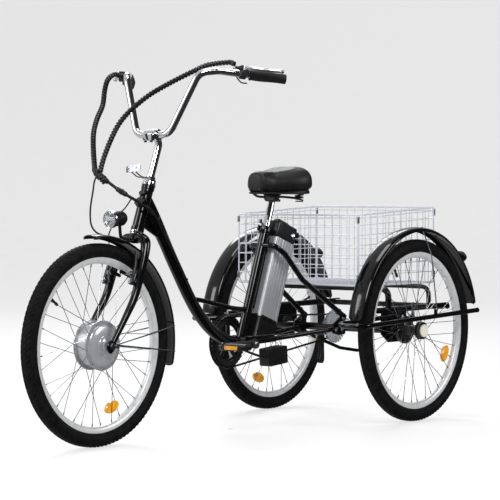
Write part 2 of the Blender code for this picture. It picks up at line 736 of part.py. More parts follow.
def make_front_wheel(steering):
    """Tyre, laced rim and hub motor on their own spin frame."""
    spin = empty("front_wheel_spin", FRONT_AXLE, steering)
    add("front_tyre", moved(tyre_mesh(), AXLE_TURN), TYRE_RUBBER, spin)
    rim = fused(rim_mesh(), joined(spoke_meshes(0.0925, 0.0200, 12)))
    add("front_rim", moved(rim, AXLE_TURN), SILVER, spin)
    profile = [(0.0, -0.045), (0.015, -0.045), (0.018, -0.032), (0.060, -0.0290), (0.078, -0.0240)]
    profile += [(0.0905, -0.0225), (0.0905, -0.0175), (0.084, -0.0150)]
    profile += [(radius, -height) for radius, height in reversed(profile)]
    motor = turned(profile, 20)
    add("hub_motor", moved(motor, AXLE_TURN), MOTOR_ALLOY, spin)


def make_rear_wheels():
    """Tyre and laced wheel at each end of the rear axle."""
    for side_name, side, place in (("left", 1, LEFT_REAR), ("right", -1, RIGHT_REAR)):
        spin = empty(side_name + "_wheel_spin", place)
        add(side_name + "_tyre", moved(tyre_mesh(), AXLE_TURN), TYRE_RUBBER, spin)
        hub_profile = [(0.0105, -0.0310), (0.0300, -0.0310), (0.0300, -0.0280), (0.0170, -0.0250)]
        hub_profile += [(0.0170, 0.0150), (0.0300, 0.0180), (0.0300, 0.0210)]
        hub_profile += [(0.0160, 0.0270), (0.0105, 0.0270)]
        if side < 0:
            hub_profile = [(radius, -height) for radius, height in reversed(hub_profile)]
        hub = turned(hub_profile, ring=True)
        wheel = fused(rim_mesh(), joined(spoke_meshes(0.0270, 0.0200, 12)), hub)
        add(side_name + "_wheel", moved(wheel, AXLE_TURN), SILVER, spin)


# Steering


def make_fork(steering):
    """Steerer, crown, two raked blades and the drop-outs, brazed into one piece."""
    steerer = rod((0, 0, -0.030), (0, 0, HEAD_LENGTH + 0.018), 0.0122, 12)
    crown = block((0.132, 0.034, 0.026), (0, 0, -0.0270), 0.005)
    axle = HEAD.inverted() @ Vector((0, FRONT_AXLE_Y, WHEEL_RADIUS))
    parts = [crown]
    for side in (-1, 1):
        blade = [
            (side * 0.056, 0, -0.020),
            (side * 0.056, 0, -0.150),
            (side * 0.058, -0.002, -0.235),
            (side * 0.060, axle.y * 0.55, axle.z + 0.055),
            (side * 0.060, axle.y * 0.90, axle.z + 0.012),
        ]
        parts.append(tube(smooth_path(blade, 8), 0.0110, 2))
        stud = rod((side * 0.056, -0.004, -0.168), (side * 0.056, -0.0220, -0.168), 0.0035, 6)
        parts.append(stud)
        tip = block((0.0055, 0.030, 0.034), (side * 0.060, axle.y, axle.z), 0.001)
        parts.append(tip)
        nut = rod((side * 0.058, axle.y, axle.z), (side * 0.073, axle.y, axle.z), 0.0130, 8)
        parts.append(nut)
        parts.append(rod((side * 0.0453, axle.y, axle.z), (side * 0.088, axle.y, axle.z), 0.0060, 8))
    add("fork", fused(steerer, *parts), BLACK_PAINT, steering)


def make_stem(steering):
    """Quill and handlebar clamp."""
    clamp = HEAD.inverted() @ BAR_CENTRE
    route = [(0, 0, HEAD_LENGTH + 0.0186), (0, 0, clamp.z - 0.006), (0, clamp.y, clamp.z)]
    quill = tube(bent(route, 0.02, 3), 0.0112)
    barrel = rod((-0.024, clamp.y, clamp.z), (0.024, clamp.y, clamp.z), 0.0180, ROUND_STEPS)
    bore = rod((-0.03, clamp.y, clamp.z), (0.03, clamp.y, clamp.z), 0.0120, ROUND_STEPS)
    add("stem", cut(fused(quill, barrel), bore), CHROME, steering)


def bar_path():
    """Centre line of the handlebar, from the right end to the left end, in world coordinates."""
    half = [Vector((0, BAR_CENTRE.y, BAR_CENTRE.z)), Vector((0.066, BAR_CENTRE.y, BAR_CENTRE.z + 0.001))]
    sweep = (GRIP_END - GRIP_START).normalized()
    half += [Vector((0.149, -0.318, 1.122)), GRIP_START - sweep * 0.095, GRIP_END]
    rounded = bent(half, 0.022, 3)
    other = [Vector((-p.x, p.y, p.z)) for p in reversed(rounded[1:])]
    return other + rounded


def make_handlebar(steering):
    """The one-piece riser bar."""
    bar = tube(bar_path(), BAR_RADIUS, 2)
    add("handlebar", in_frame(HEAD, bar), CHROME, steering)


def grip_frame(side):
    """A frame at the inner end of a grip, local Z along the grip and outwards."""
    start = Vector((side * GRIP_START.x, GRIP_START.y, GRIP_START.z))
    end = Vector((side * GRIP_END.x, GRIP_END.y, GRIP_END.z))
    return aimed(start, end - start)


def sleeve(low, high, radius, end_cap=False):
    """A tube round the bar end, open at both ends or closed at the outer one."""
    inner = BAR_RADIUS + 0.0007
    if not end_cap:
        return turned([(inner, low), (radius, low), (radius, high), (inner, high)], ring=True)
    reach = (GRIP_END - GRIP_START).length + 0.001
    wall = [(0.0, reach), (inner, reach), (inner, low), (radius, low)]
    return turned(wall + [(radius, high - 0.004), (radius - 0.004, high), (0.0, high)])


def across_grip(place, direction):
    """A world direction as a unit vector at right angles to a grip, in the grip's own frame."""
    vector = place.to_3x3().inverted() @ Vector(direction)
    vector.z = 0
    return vector.normalized()


def lever_mesh(front):
    """A brake lever that reaches out along the grip and ends in a ball."""
    route = [
        front * 0.0050,
        front * 0.0120 + Vector((0, 0, 0.030)),
        front * 0.0150 + Vector((0, 0, 0.070)),
        front * 0.0240 + Vector((0, 0, 0.110)),
    ]
    lever = tube(smooth_path(route, 8), 0.0050, 2)
    ball = rod(route[-1], route[-1] + Vector((0, 0, 0.008)), 0.0068, 8)
    return fused(lever, ball)


def make_bar_controls(steering):
    """Grips, lever clamps and brake levers."""
    reach = (GRIP_END - GRIP_START).length
    inner = BAR_RADIUS + 0.0007
    for side_name, side, grip_low in (("left", 1, 0.002), ("right", -1, 0.050)):
        place = grip_frame(side)
        grip = moved(sleeve(grip_low, reach + 0.006, 0.0165, end_cap=True), place)
        add(side_name + "_grip", in_frame(HEAD, grip), GRIP_RUBBER, steering)
        front = across_grip(place, (side * 0.66, -0.75, 0.10))
        clamp = turned([(inner, -0.028), (0.0155, -0.028), (0.0155, -0.008), (inner, -0.008)], ring=True)
        low = Vector((0, 0, -0.018))
        bracket = rod(front * 0.0135 + low, front * 0.0270 + low, 0.0075, 6)
        clamp = moved(fused(clamp, bracket), place)
        add(side_name + "_lever_clamp", in_frame(HEAD, clamp), BLACK_PLASTIC, steering)
        pivot_place = place @ Matrix.Translation(front * 0.030 + Vector((0, 0, -0.016)))
        pivot = empty(side_name + "_lever_pivot", pivot_place, steering)
        add(side_name + "_brake_lever", lever_mesh(front), SILVER, pivot)


def make_twist_controls(steering):
    """The twist throttle beside the right grip, and the shifter that turns on the bar inside it."""
    place = grip_frame(-1)
    throttle_pivot = empty("throttle_pivot", place, steering)
    add("throttle_sleeve", sleeve(0.004, 0.0495, 0.0180), BLACK_PLASTIC, throttle_pivot)
    inner = BAR_RADIUS + 0.0009
    ring = turned([(inner, -0.006), (0.0150, -0.006), (0.0150, 0.006), (inner, 0.006)], ring=True)
    down = across_grip(place, (0.0, 0.5, -1.0))
    paddle = rod(down * 0.0135, down * 0.036, 0.0045, 6)
    shift_pivot = empty("shift_pivot", place @ at(0, 0, -0.038), steering)
    add("shift_lever", fused(ring, paddle), BLACK_PLASTIC, shift_pivot)


def make_brake_arms(steering):
    """The two front brake arms with their pads; each turns on a stud of the fork."""
    for side_name, side in (("left", 1), ("right", -1)):
        pivot_place = HEAD @ at(side * 0.0540, -0.0275, -0.168)
        pivot = empty(side_name + "_brake_arm_pivot", pivot_place, steering)
        arm = block((0.0100, 0.0080, 0.105), (-side * 0.0060, 0, 0.0430), 0.002)
        foot = rod((-side * 0.003, -0.0045, 0), (-side * 0.003, 0.0045, 0), 0.0085, 8)
        holder = rod((-side * 0.006, 0.0020, 0.024), (-side * 0.0330, 0.0020, 0.024), 0.0035, 6)
        pad = block((0.0080, 0.0500, 0.0100), (-side * 0.0340, 0.0040, 0.0240), 0.001)
        add(side_name + "_brake_arm", fused(arm, foot, holder, pad), BLACK_PAINT, pivot)


def make_front_fender(steering):
    """The crowned channel over the front wheel."""
    outer = [(0.3200, -0.0300), (0.3270, -0.0210), (0.3300, 0.0), (0.3270, 0.0210), (0.3200, 0.0300)]
    section = outer + [(radius - 0.0023, x * 0.95) for radius, x in reversed(outer)]
    fender = arc_channel(section, FRONT_AXLE_Y, WHEEL_RADIUS, 96, -14, 11)
    add("front_fender", in_frame(HEAD, fender), BLACK_PAINT, steering)


def make_headlight(steering):
    """A round lamp on a bracket from the fork crown."""
    back = Vector((0.0, -0.470, 0.684))
    forward = Vector((0.0, -0.995, -0.06))
    profile = [(0.0, 0.0), (0.014, 0.0), (0.026, 0.012), (0.033, 0.034)]
    profile += [(0.034, 0.056), (0.030, 0.062), (0.0, 0.066)]
    shell = moved(turned(profile), aimed(back, forward))
    bracket = tube(bent([(0, -0.4690, 0.6210), (0, -0.500, 0.628), (0, -0.502, 0.665)], 0.008, 2), 0.0045, 2)
    add("headlight", in_frame(HEAD, fused(shell, bracket)), CHROME, steering)


# Seat and battery


def make_seat():
    """Seat post, sprung undercarriage, saddle and the quick release lever of the clamp."""
    post_slide = empty("post_slide", SEAT)
    add("seat_post", rod((0, 0, 0.240), (0, 0, POST_TOP), 0.0125, ROUND_STEPS), CHROME, post_slide)
    add("saddle_springs", in_frame(SEAT, springs_mesh()), DARK_STEEL, post_slide)
    add("saddle", in_frame(SEAT, saddle_mesh()), SADDLE_SKIN, post_slide)
    pivot = empty("quick_release_pivot", SEAT @ at(0, -0.0260, SEAT_TUBE_LENGTH - 0.014))
    lever = tube(bent([(0.0097, 0, 0), (0.0180, 0, 0), (0.0180, -0.030, 0.014)], 0.006, 2), 0.0040, 2)
    knob = rod((0.0180, -0.028, 0.0132), (0.0180, -0.040, 0.0176), 0.0075, 8)
    add("quick_release_lever", fused(lever, knob), DARK_STEEL, pivot)


def springs_mesh():
    """The seat post clamp, the saddle rails, the coil springs and the cross wire, in the world frame."""
    head = SEAT @ Vector((0, 0, POST_TOP + FIT_GAP))
    clamp = rod((-0.022, head.y, head.z + 0.0178), (0.022, head.y, head.z + 0.0178), 0.0150, ROUND_STEPS)
    parts = [block((0.052, 0.020, 0.010), (0, 0.142, 0.7700), 0.002)]
    for side in (-1, 1):
        rail = [(side * 0.020, 0.140, 0.766), (side * 0.022, 0.180, 0.748)]
        rail += [(side * 0.024, 0.260, 0.746), (side * 0.045, 0.318, 0.752)]
        parts.append(tube(bent(rail, 0.03, 2), 0.0040, 2))
        parts.append(rod((side * 0.048, 0.312, 0.732), (side * 0.048, 0.312, 0.7755), 0.0130, 8))
    parts.append(tube([(-0.048, 0.312, 0.738), (0.048, 0.312, 0.738)], 0.0040, 2))
    return fused(clamp, *parts)


def saddle_mesh():
    """A plain closed cushion: a wide tail that narrows to a short nose."""
    rows = [(0.112, 0.020, 0.0), (0.125, 0.042, 0.004), (0.165, 0.052, 0.004), (0.215, 0.075, 0.003)]
    rows += [(0.262, 0.098, 0.008), (0.315, 0.102, 0.016), (0.345, 0.080, 0.014), (0.356, 0.045, 0.008)]
    half = [(1.0, 0.30), (0.96, 0.72), (0.60, 1.0)]
    section = half + [(0.0, 0.97)] + [(-across, up) for across, up in reversed(half)]
    section += [(-0.85, 0.0), (0.85, 0.0)]
    points = []
    for y, half_width, rise in rows:
        for across, up in section:
            points.append((across * half_width, y, SADDLE_BASE_Z + up * (0.060 + rise)))
    width = len(section)
    faces = [tuple(range(width)), tuple(range(len(points) - width, len(points)))]
    for row in range(len(rows) - 1):
        near, far = row * width, (row + 1) * width
        for i in range(width):
            after = (i + 1) % width
            faces.append((near + i, near + after, far + after, far + i))
    return facing_out(mesh_from(points, faces))


def make_battery():
    """The sliding battery and its key, on a frame that runs up behind the seat tube."""
    slide = empty("battery_slide", SEAT)
    depth = BATTERY_BACK - BATTERY_FRONT
    middle = (BATTERY_BACK + BATTERY_FRONT) / 2
    body_top = BATTERY_TOP - 0.045
    body_size = (2 * BATTERY_HALF_WIDTH, depth, body_top - BATTERY_FOOT)
    body = block(body_size, (0, middle, (body_top + BATTERY_FOOT) / 2), 0.006)
    cap_size = (2 * BATTERY_HALF_WIDTH - 0.002, depth - 0.002, 0.060)
    cap = block(cap_size, (0, middle, BATTERY_TOP - 0.030), 0.014)
    add("battery", fused(body, cap), BATTERY_ALLOY, slide)
    key_place = SEAT @ at(BATTERY_HALF_WIDTH + FIT_GAP, BATTERY_BACK - 0.022, BATTERY_TOP - 0.030)
    key_turn = empty("key_turn", key_place, slide)
    barrel = rod((0, 0, 0), (0.006, 0, 0), 0.0070, ROUND_STEPS)
    key = fused(barrel, block((0.022, 0.0022, 0.012), (0.015, 0, 0), 0.0005))
    add("battery_key", key, CHROME, key_turn)


def make_dock():
    """The wedge below the battery with its rail up the seat tube, and the motor controller box."""
    dock_top = BATTERY_FOOT - 0.0005
    outline = [(BATTERY_FRONT, 0.031), (BATTERY_FRONT, dock_top)]
    outline += [(BATTERY_BACK, dock_top), (BATTERY_BACK, 0.068)]
    dock = slab(outline, -BATTERY_HALF_WIDTH, BATTERY_HALF_WIDTH)
    rail = block((0.020, 0.0020, 0.240), (0, BATTERY_FRONT - 0.0015, BATTERY_FOOT + 0.090))
    heel = block((0.020, 0.0060, 0.030), (0, BATTERY_FRONT + 0.001, BATTERY_FOOT - 0.020))
    add("battery_dock", moved(fused(dock, heel, rail), SEAT), CAP_PLASTIC)
    box = moved(block((0.046, 0.100, 0.068), bevel=0.004), CONTROLLER_PLACE)
    add("controller_box", box, BLACK_PLASTIC)


# Cables held along the frame


LEFT_BUNDLE_ROUTE = [
    (0.196, -0.262, 1.150),
    (0.160, -0.330, 1.148),
    (0.110, -0.385, 1.118),
    (0.050, -0.420, 1.072),
    (0.010, -0.470, 1.020),
    (-0.015, -0.520, 0.950),
    (-0.030, -0.545, 0.870),
    (-0.024, -0.548, 0.815),
    (-0.006, -0.520, 0.786),
    (0.008, -0.485, 0.765),
    (0.016, -0.460, 0.748),
]
FRONT_BRAKE_ROUTE = [
    (-0.212, -0.285, 1.128),
    (-0.200, -0.340, 1.110),
    (-0.165, -0.410, 1.035),
    (-0.130, -0.465, 0.965),
    (-0.100, -0.505, 0.915),
    (-0.065, -0.540, 0.865),
    (-0.052, -0.565, 0.815),
    (-0.056, -0.582, 0.760),
    (-0.062, -0.590, 0.700),
    (-0.058, -0.585, 0.655),
    (-0.050, -0.562, 0.630),
    (-0.030, -0.530, 0.625),
]
LOOM_TOP = [(0.027, -0.436, 0.742), (0.0285, -0.405, 0.715), (0.0245, -0.331, 0.632)]
LOOM_FOOT = [
    (0.0245, -0.066, 0.306),
    (0.0290, 0.010, 0.268),
    (0.0330, 0.090, 0.240),
    (0.0300, 0.150, 0.226),
    (0.0150, 0.1965, 0.222),
]


def make_cables(steering):
    """The wrapped bundle, the front brake cable and the loom along the down tube."""
    add_cord("left_cable_bundle", LEFT_BUNDLE_ROUTE, 24, 0.0045, steering, HEAD)
    add_cord("front_brake_cable", FRONT_BRAKE_ROUTE, 26, 0.0035, steering, HEAD)
    along_tube = [(0.0245, y, z - 0.006) for _, y, z in DOWN_TUBE[2:5]]
    add_cord("cable_loom", LOOM_TOP + along_tube + LOOM_FOOT, 24, 0.0040)


def build():
    """Makes every sub-part."""
    make_front_frame()
    make_headset()
    make_rear_carriage()
    make_fender_rails()
    make_rear_fenders()
    make_tail_lights()
    make_axle_bearings()
    make_basket()
    make_chain()
    make_crankset()
    make_rear_axle()
    make_derailleur()
    make_rear_wheels()
    make_seat()
    make_battery()
    make_dock()
    steering = empty("steering", HEAD)
    make_front_wheel(steering)
    make_fork(steering)
    make_stem(steering)
    make_handlebar(steering)
    make_bar_controls(steering)
    make_twist_controls(steering)
    make_brake_arms(steering)
    make_front_fender(steering)
    make_headlight(steering)
    make_cables(steering)
    reach_back = FENDER_RADIUS * cos(radians(FENDER_END_DEGREES))
    shift = (reach_back - WHEEL_RADIUS) / 2
    for obj in bpy.context.scene.objects:
        if obj.parent is None:
            obj.location.y -= shift
    bpy.context.view_layer.update()


build()
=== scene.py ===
"""Looks of an adult tricycle with a front hub motor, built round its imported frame.

Metres, +Z up; -Y is the way it rides and +X is the rider's left. Every surface is worked out with numpy as a
function of two parameters or as a section carried along a path. Routes are given from the point on the ground
midway between the front and the rear axle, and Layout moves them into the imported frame.
"""

import json
import logging
from collections.abc import Sequence
from dataclasses import dataclass, field
from enum import Enum
from math import atan2, cos, hypot, pi, radians, sin

import bpy
import numpy as np
from mathutils import Matrix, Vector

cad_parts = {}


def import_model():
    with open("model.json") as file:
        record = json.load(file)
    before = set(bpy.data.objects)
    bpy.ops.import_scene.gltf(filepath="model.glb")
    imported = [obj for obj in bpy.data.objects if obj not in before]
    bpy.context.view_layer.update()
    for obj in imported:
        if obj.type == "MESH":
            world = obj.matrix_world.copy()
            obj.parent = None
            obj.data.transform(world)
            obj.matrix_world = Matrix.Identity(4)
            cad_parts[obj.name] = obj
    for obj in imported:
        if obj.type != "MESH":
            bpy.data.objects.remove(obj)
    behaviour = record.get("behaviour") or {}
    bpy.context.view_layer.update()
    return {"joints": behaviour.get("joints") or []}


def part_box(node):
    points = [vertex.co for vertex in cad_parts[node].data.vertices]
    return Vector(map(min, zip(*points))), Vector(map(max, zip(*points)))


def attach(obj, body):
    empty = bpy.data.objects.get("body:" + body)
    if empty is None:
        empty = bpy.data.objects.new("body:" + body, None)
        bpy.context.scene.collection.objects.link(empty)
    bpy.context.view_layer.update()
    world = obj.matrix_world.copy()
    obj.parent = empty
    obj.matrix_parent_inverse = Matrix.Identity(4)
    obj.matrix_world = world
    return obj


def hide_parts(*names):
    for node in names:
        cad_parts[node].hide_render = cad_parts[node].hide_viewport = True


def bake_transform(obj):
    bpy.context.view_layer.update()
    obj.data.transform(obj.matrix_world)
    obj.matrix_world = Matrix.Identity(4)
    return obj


LOG = logging.getLogger("tricycle")
Array = np.ndarray
Row = Sequence[float]
X_AXIS = np.array([1.0, 0.0, 0.0])
Y_AXIS = np.array([0.0, 1.0, 0.0])
Z_AXIS = np.array([0.0, 0.0, 1.0])


# Matrices


def shift(x: float = 0.0, y: float = 0.0, z: float = 0.0) -> Array:
    """A 4 by 4 matrix that moves by x, y, z.

    Args:
        x: distance along X.
        y: distance along Y.
        z: distance along Z.

    Returns:
        The move.
    """
    matrix = np.eye(4)
    matrix[:3, 3] = (x, y, z)
    return matrix


def turn(axis: str, angle: float) -> Array:
    """A 4 by 4 matrix that turns by an angle in radians about the X, Y or Z axis."""
    return np.array(Matrix.Rotation(angle, 4, axis))


def frame_at(origin: Row, x: Row, z: Row) -> Array:
    """A frame whose local Z runs along z and whose local X lies as near x as it can.

    Args:
        origin: where the frame's zero lies.
        x: the wanted direction of local X.
        z: the direction of local Z.

    Returns:
        A 4 by 4 matrix from the local frame to the given one.
    """
    up = np.asarray(z, float) / np.linalg.norm(z)
    side = np.asarray(x, float) - np.dot(x, up) * up
    side /= np.linalg.norm(side)
    matrix = np.eye(4)
    matrix[:3, 0] = side
    matrix[:3, 1] = np.cross(up, side)
    matrix[:3, 2] = up
    matrix[:3, 3] = origin
    return matrix


def aimed(origin: Row, direction: Row) -> Array:
    """A frame at origin with local Z along direction and local X level where it can be."""
    near_x = abs(direction[0]) > 0.9 * float(np.linalg.norm(direction))
    return frame_at(origin, Y_AXIS if near_x else X_AXIS, direction)


ACROSS = frame_at((0, 0, 0), (0, 1, 0), (1, 0, 0))


# Surfaces


@dataclass
class Shape:
    """One or more closed surfaces: their points, their faces' corners end to end, and the faces' sizes."""

    points: Array
    loops: Array
    sizes: Array

    def __add__(self, other: "Shape") -> "Shape":
        """Both shapes' surfaces in one.

        Args:
            other: the shape to add.

        Returns:
            Both shapes as one.
        """
        return Shape(
            np.vstack([self.points, other.points]),
            np.concatenate([self.loops, other.loops + len(self.points)]),
            np.concatenate([self.sizes, other.sizes]),
        )

    def moved(self, matrix: Array) -> "Shape":
        """The shape carried by a 4 by 4 matrix, still facing outwards.

        Args:
            matrix: the move, as a 4 x 4 matrix.

        Returns:
            The moved shape.
        """
        points = self.points @ matrix[:3, :3].T + matrix[:3, 3]
        result = Shape(points, self.loops, self.sizes)
        return result.flipped() if np.linalg.det(matrix[:3, :3]) < 0 else result

    def flipped(self) -> "Shape":
        """The shape with every face's corners in the opposite order.

        Returns:
            The turned shape.
        """
        ends = np.repeat(np.cumsum(self.sizes) - 1, self.sizes)
        starts = np.repeat(np.cumsum(self.sizes) - self.sizes, self.sizes)
        order = ends - (np.arange(len(self.loops)) - starts)
        return Shape(self.points, self.loops[order], self.sizes)

    def outward(self) -> "Shape":
        """The shape turned so that its signed volume, summed over fans of its faces, is positive.

        Returns:
            The shape with its faces outward.
        """
        starts = np.cumsum(self.sizes) - self.sizes
        fans = np.maximum(self.sizes - 2, 0)
        first = np.repeat(starts, fans)
        step = np.arange(fans.sum()) - np.repeat(np.cumsum(fans) - fans, fans)
        a = self.points[self.loops[first]]
        b = self.points[self.loops[first + step + 1]]
        c = self.points[self.loops[first + step + 2]]
        return self if np.einsum("ij,ij->", a, np.cross(b, c)) >= 0 else self.flipped()

    def copies(self, matrices: Sequence[Array]) -> "Shape":
        """The shape set out once for each matrix."""
        return union([self.moved(matrix) for matrix in matrices])


def union(shapes: Sequence[Shape]) -> Shape:
    """All the shapes' surfaces in one.

    Args:
        shapes: the shapes to join.

    Returns:
        One shape.
    """
    offsets = np.cumsum([0] + [len(s.points) for s in shapes[:-1]])
    return Shape(
        np.vstack([s.points for s in shapes]),
        np.concatenate([s.loops + offset for s, offset in zip(shapes, offsets)]),
        np.concatenate([s.sizes for s in shapes]),
    )


def mirrored(shape: Shape) -> Shape:
    """The shape's mirror image across the plane X = 0."""
    return shape.moved(np.diag([-1.0, 1.0, 1.0, 1.0]))


def skin(rows: Array, wrap_rows: bool = False) -> Shape:
    """A surface over a grid of points whose columns run round it.

    Args:
        rows: points as (rows, columns, 3). A first or last row that is one point is closed as a pole.
        wrap_rows: joins the last row to the first; otherwise each end is closed by one flat face.

    Returns:
        The closed surface, facing outwards.
    """
    count, around, _ = rows.shape
    points = rows.reshape(-1, 3)
    index = np.arange(count * around).reshape(count, around)
    if wrap_rows:
        index = np.vstack([index, index[:1]])
    a, b = index[:-1], index[1:]
    after_a, after_b = np.roll(a, -1, 1), np.roll(b, -1, 1)
    quads = np.stack([a, after_a, after_b, b], -1).reshape(-1, 4)
    loops, sizes = [quads.ravel()], [np.full(len(quads), 4)]
    if not wrap_rows:
        loops += [index[0][::-1], index[-1]]
        sizes.append(np.array([around, around]))
    return Shape(points, np.concatenate(loops), np.concatenate(sizes)).outward()


def catmull(points: Sequence[Row], count: int, loop: bool = False) -> Array:
    """Evenly counted points on a Catmull-Rom curve, the cubic whose slope at each point joins its neighbours.

    Args:
        points: the route's own points.
        count: how many points to return.
        loop: closes the route on itself.

    Returns:
        The curve's points as (count, dimensions).
    """
    route = np.asarray(points, float)
    if loop:
        route = np.vstack([route[-1:], route, route[:2]])
    else:
        route = np.vstack([2 * route[0] - route[1], route, 2 * route[-1] - route[-2]])
    spans = len(route) - 3
    place = np.linspace(0, spans, count, endpoint=not loop)
    span = np.minimum(place.astype(int), spans - 1)
    t = (place - span)[:, None]
    a, b, c, d = (route[span + k] for k in range(4))
    cubic = (2 * a - 5 * b + 4 * c - d) * t**2 + (3 * b - a - 3 * c + d) * t**3
    return 0.5 * (2 * b + (c - a) * t + cubic)


def rounded(points: Sequence[Row], radius: float, steps: int = 10) -> Array:
    """A path whose corners are replaced by parabolic arcs that start a trim length before each corner.

    Args:
        points: the corner points.
        radius: the corner radius.
        steps: how many points each corner gets.

    Returns:
        The points of the rounded path.
    """
    corners = [np.asarray(p, float) for p in points]
    path = [corners[0][None]]
    t = np.linspace(0, 1, steps)[:, None]
    for before, corner, after in zip(corners, corners[1:], corners[2:]):
        back, ahead = before - corner, after - corner
        reach = min(np.linalg.norm(back), np.linalg.norm(ahead)) * 0.48
        back, ahead = back / np.linalg.norm(back), ahead / np.linalg.norm(ahead)
        half = np.arccos(np.clip(back @ ahead, -1, 1)) / 2
        trim = min(radius / np.tan(half), reach)
        start, end = corner + back * trim, corner + ahead * trim
        path.append(start * (1 - t) ** 2 + corner * 2 * t * (1 - t) + end * t**2)
    path.append(corners[-1][None])
    return np.vstack(path)


def circle(sides: int, radius: float = 1.0) -> Array:
    """Points round a circle in a plane, as (sides, 2)."""
    angle = 2 * pi * np.arange(sides) / sides
    return radius * np.stack([np.cos(angle), np.sin(angle)], 1)


def sweep(
    path: Array,
    radius: float | Array,
    sides: int = 18,
    section: Array | None = None,
    loop: bool = False,
) -> Shape:
    """A section carried along a path: point = path + radius * (u * normal + v * binormal).

    The binormal is the normal of the plane nearest the path, made square to the path's own direction.

    Args:
        path: the path's points as (n, 3).
        radius: one size, or one for each point of the path.
        sides: how many points a round section has.
        section: another closed (u, v) section instead of the circle.
        loop: joins the path's end to its start.

    Returns:
        The closed surface.
    """
    path = np.asarray(path, float)
    ring = circle(sides) if section is None else np.asarray(section, float)
    if loop:
        tangent = np.roll(path, -1, 0) - np.roll(path, 1, 0)
    else:
        tangent = np.gradient(path, axis=0)
    tangent /= np.linalg.norm(tangent, axis=1)[:, None]
    flat = np.linalg.svd(path - path.mean(0), full_matrices=True)[2][2]
    binormal = flat - (tangent @ flat)[:, None] * tangent
    binormal /= np.linalg.norm(binormal, axis=1)[:, None]
    normal = np.cross(binormal, tangent)
    size = np.broadcast_to(np.asarray(radius, float), (len(path),))[:, None, None]
    offset = ring[None, :, :1] * normal[:, None] + ring[None, :, 1:] * binormal[:, None]
    return skin(path[:, None] + size * offset, wrap_rows=loop)


def rods(starts: Array, ends: Array, radius: float, sides: int = 6) -> Shape:
    """Many straight round bars at once, each from its start to its end."""
    starts, ends = np.atleast_2d(starts).astype(float), np.atleast_2d(ends).astype(float)
    return union([sweep(np.array([a, b]), radius, sides) for a, b in zip(starts, ends)])


def lathe(profile: Sequence[Row], place: Array | None = None, steps: int = 48, ring: bool = False) -> Shape:
    """A profile of (radius, height) turned about local Z: (r cos a, r sin a, h).

    Args:
        profile: from one end of the turned solid to the other.
        place: the frame it is turned in.
        steps: how many points go round.
        ring: joins the profile's end to its start, for a solid with a hole.

    Returns:
        The closed surface.
    """
    outline = np.asarray(profile, float)
    outline[:, 0] = np.maximum(outline[:, 0], 1e-5)
    round_ = circle(steps)
    rows = np.empty((len(outline), steps, 3))
    rows[:, :, :2] = outline[:, None, :1] * round_[None]
    rows[:, :, 2] = outline[:, 1:]
    shape = skin(rows, wrap_rows=ring)
    return shape if place is None else shape.moved(place)


def plate(outline: Array, low: float, high: float, bevel: float = 0.0006) -> Shape:
    """A flat (x, y) outline given thickness from low to high, with its rims drawn in by the bevel.

    Args:
        outline: the closed outline, as X and Y.
        low: the lower face's height.
        high: the upper face's height.
        bevel: the width of the bevel on its edges.

    Returns:
        The closed plate.
    """
    outline = np.asarray(outline, float)
    middle = outline.mean(0)
    reach = np.linalg.norm(outline - middle, axis=1).mean()
    small = middle + (outline - middle) * (1 - bevel / reach)
    rings = [(small, low), (outline, low + bevel), (outline, high - bevel), (small, high)]
    rows = [np.column_stack([ring, np.full(len(ring), height)]) for ring, height in rings]
    return skin(np.stack(rows))


def soft_rectangle(width: float, height: float, corner: float, steps: int = 6) -> Array:
    """A rectangle about zero whose corners are quarter circles, as an outline.

    Args:
        width: size along X.
        height: size along Y.
        corner: the corner radius.
        steps: how many points each corner gets.

    Returns:
        The outline's points.
    """
    angle = np.linspace(0, pi / 2, steps)
    arc = corner * np.stack([np.cos(angle), np.sin(angle)], 1)
    core = np.array([width / 2 - corner, height / 2 - corner])
    parts = []
    for quarter, sign in enumerate(((1, 1), (-1, 1), (-1, -1), (1, -1))):
        c, s = round(cos(quarter * pi / 2)), round(sin(quarter * pi / 2))
        parts.append(arc @ np.array([[c, s], [-s, c]]) + core * sign)
    return np.vstack(parts)


def soft_box(size: Row, corner: float, bevel: float = 0.0015, steps: int = 6) -> Shape:
    """A box about zero with round upright corners and rounded rims, whose rings follow a quarter arc.

    Args:
        size: width, depth and height.
        corner: radius of the upright corners.
        bevel: radius of the top and bottom rims.
        steps: points on each corner.

    Returns:
        The closed surface.
    """
    width, depth, height = size
    rings = []
    for angle in np.linspace(0, pi / 2, 5):
        inset = bevel * (1 - cos(angle))
        outline = soft_rectangle(width - 2 * inset, depth - 2 * inset, max(corner - inset, 1e-4), steps)
        rings.append((outline, height / 2 - bevel + bevel * sin(angle)))
    upper = [np.column_stack([ring, np.full(len(ring), z)]) for ring, z in rings]
    lower = [np.column_stack([ring, np.full(len(ring), -z)]) for ring, z in reversed(rings)]
    return skin(np.stack(lower + upper))


def hex_bolt(place: Array, radius: float = 0.0045, height: float = 0.0035) -> Shape:
    """A washer with a domed six-sided head on it, standing on local Z = 0.

    Args:
        place: its frame.
        radius: the radius over its corners.
        height: the height of its head.

    Returns:
        The bolt's head.
    """
    washer = lathe([(0, 0), (radius * 1.45, 0), (radius * 1.45, 0.001), (0, 0.001)], place, 20)
    head = [
        (0, 0.001), (radius, 0.001), (radius, height), (radius * 0.8, height + 0.0008), (0, height + 0.0009)
    ]
    return washer + lathe(head, place, 6)


def socket_bolt(place: Array, radius: float = 0.0042, height: float = 0.004) -> Shape:
    """A round bolt head with a sunken six-sided drive, standing on local Z = 0.

    Args:
        place: its frame.
        radius: its radius.
        height: size along Y or Z.

    Returns:
        The bolt's head.
    """
    outer = [(0, 0), (radius, 0), (radius, height - 0.0006), (radius - 0.0006, height)]
    return lathe(
        outer + [(radius * 0.55, height), (radius * 0.5, height - 0.0018), (0, height - 0.0018)], place, 18
    )


# Finishes


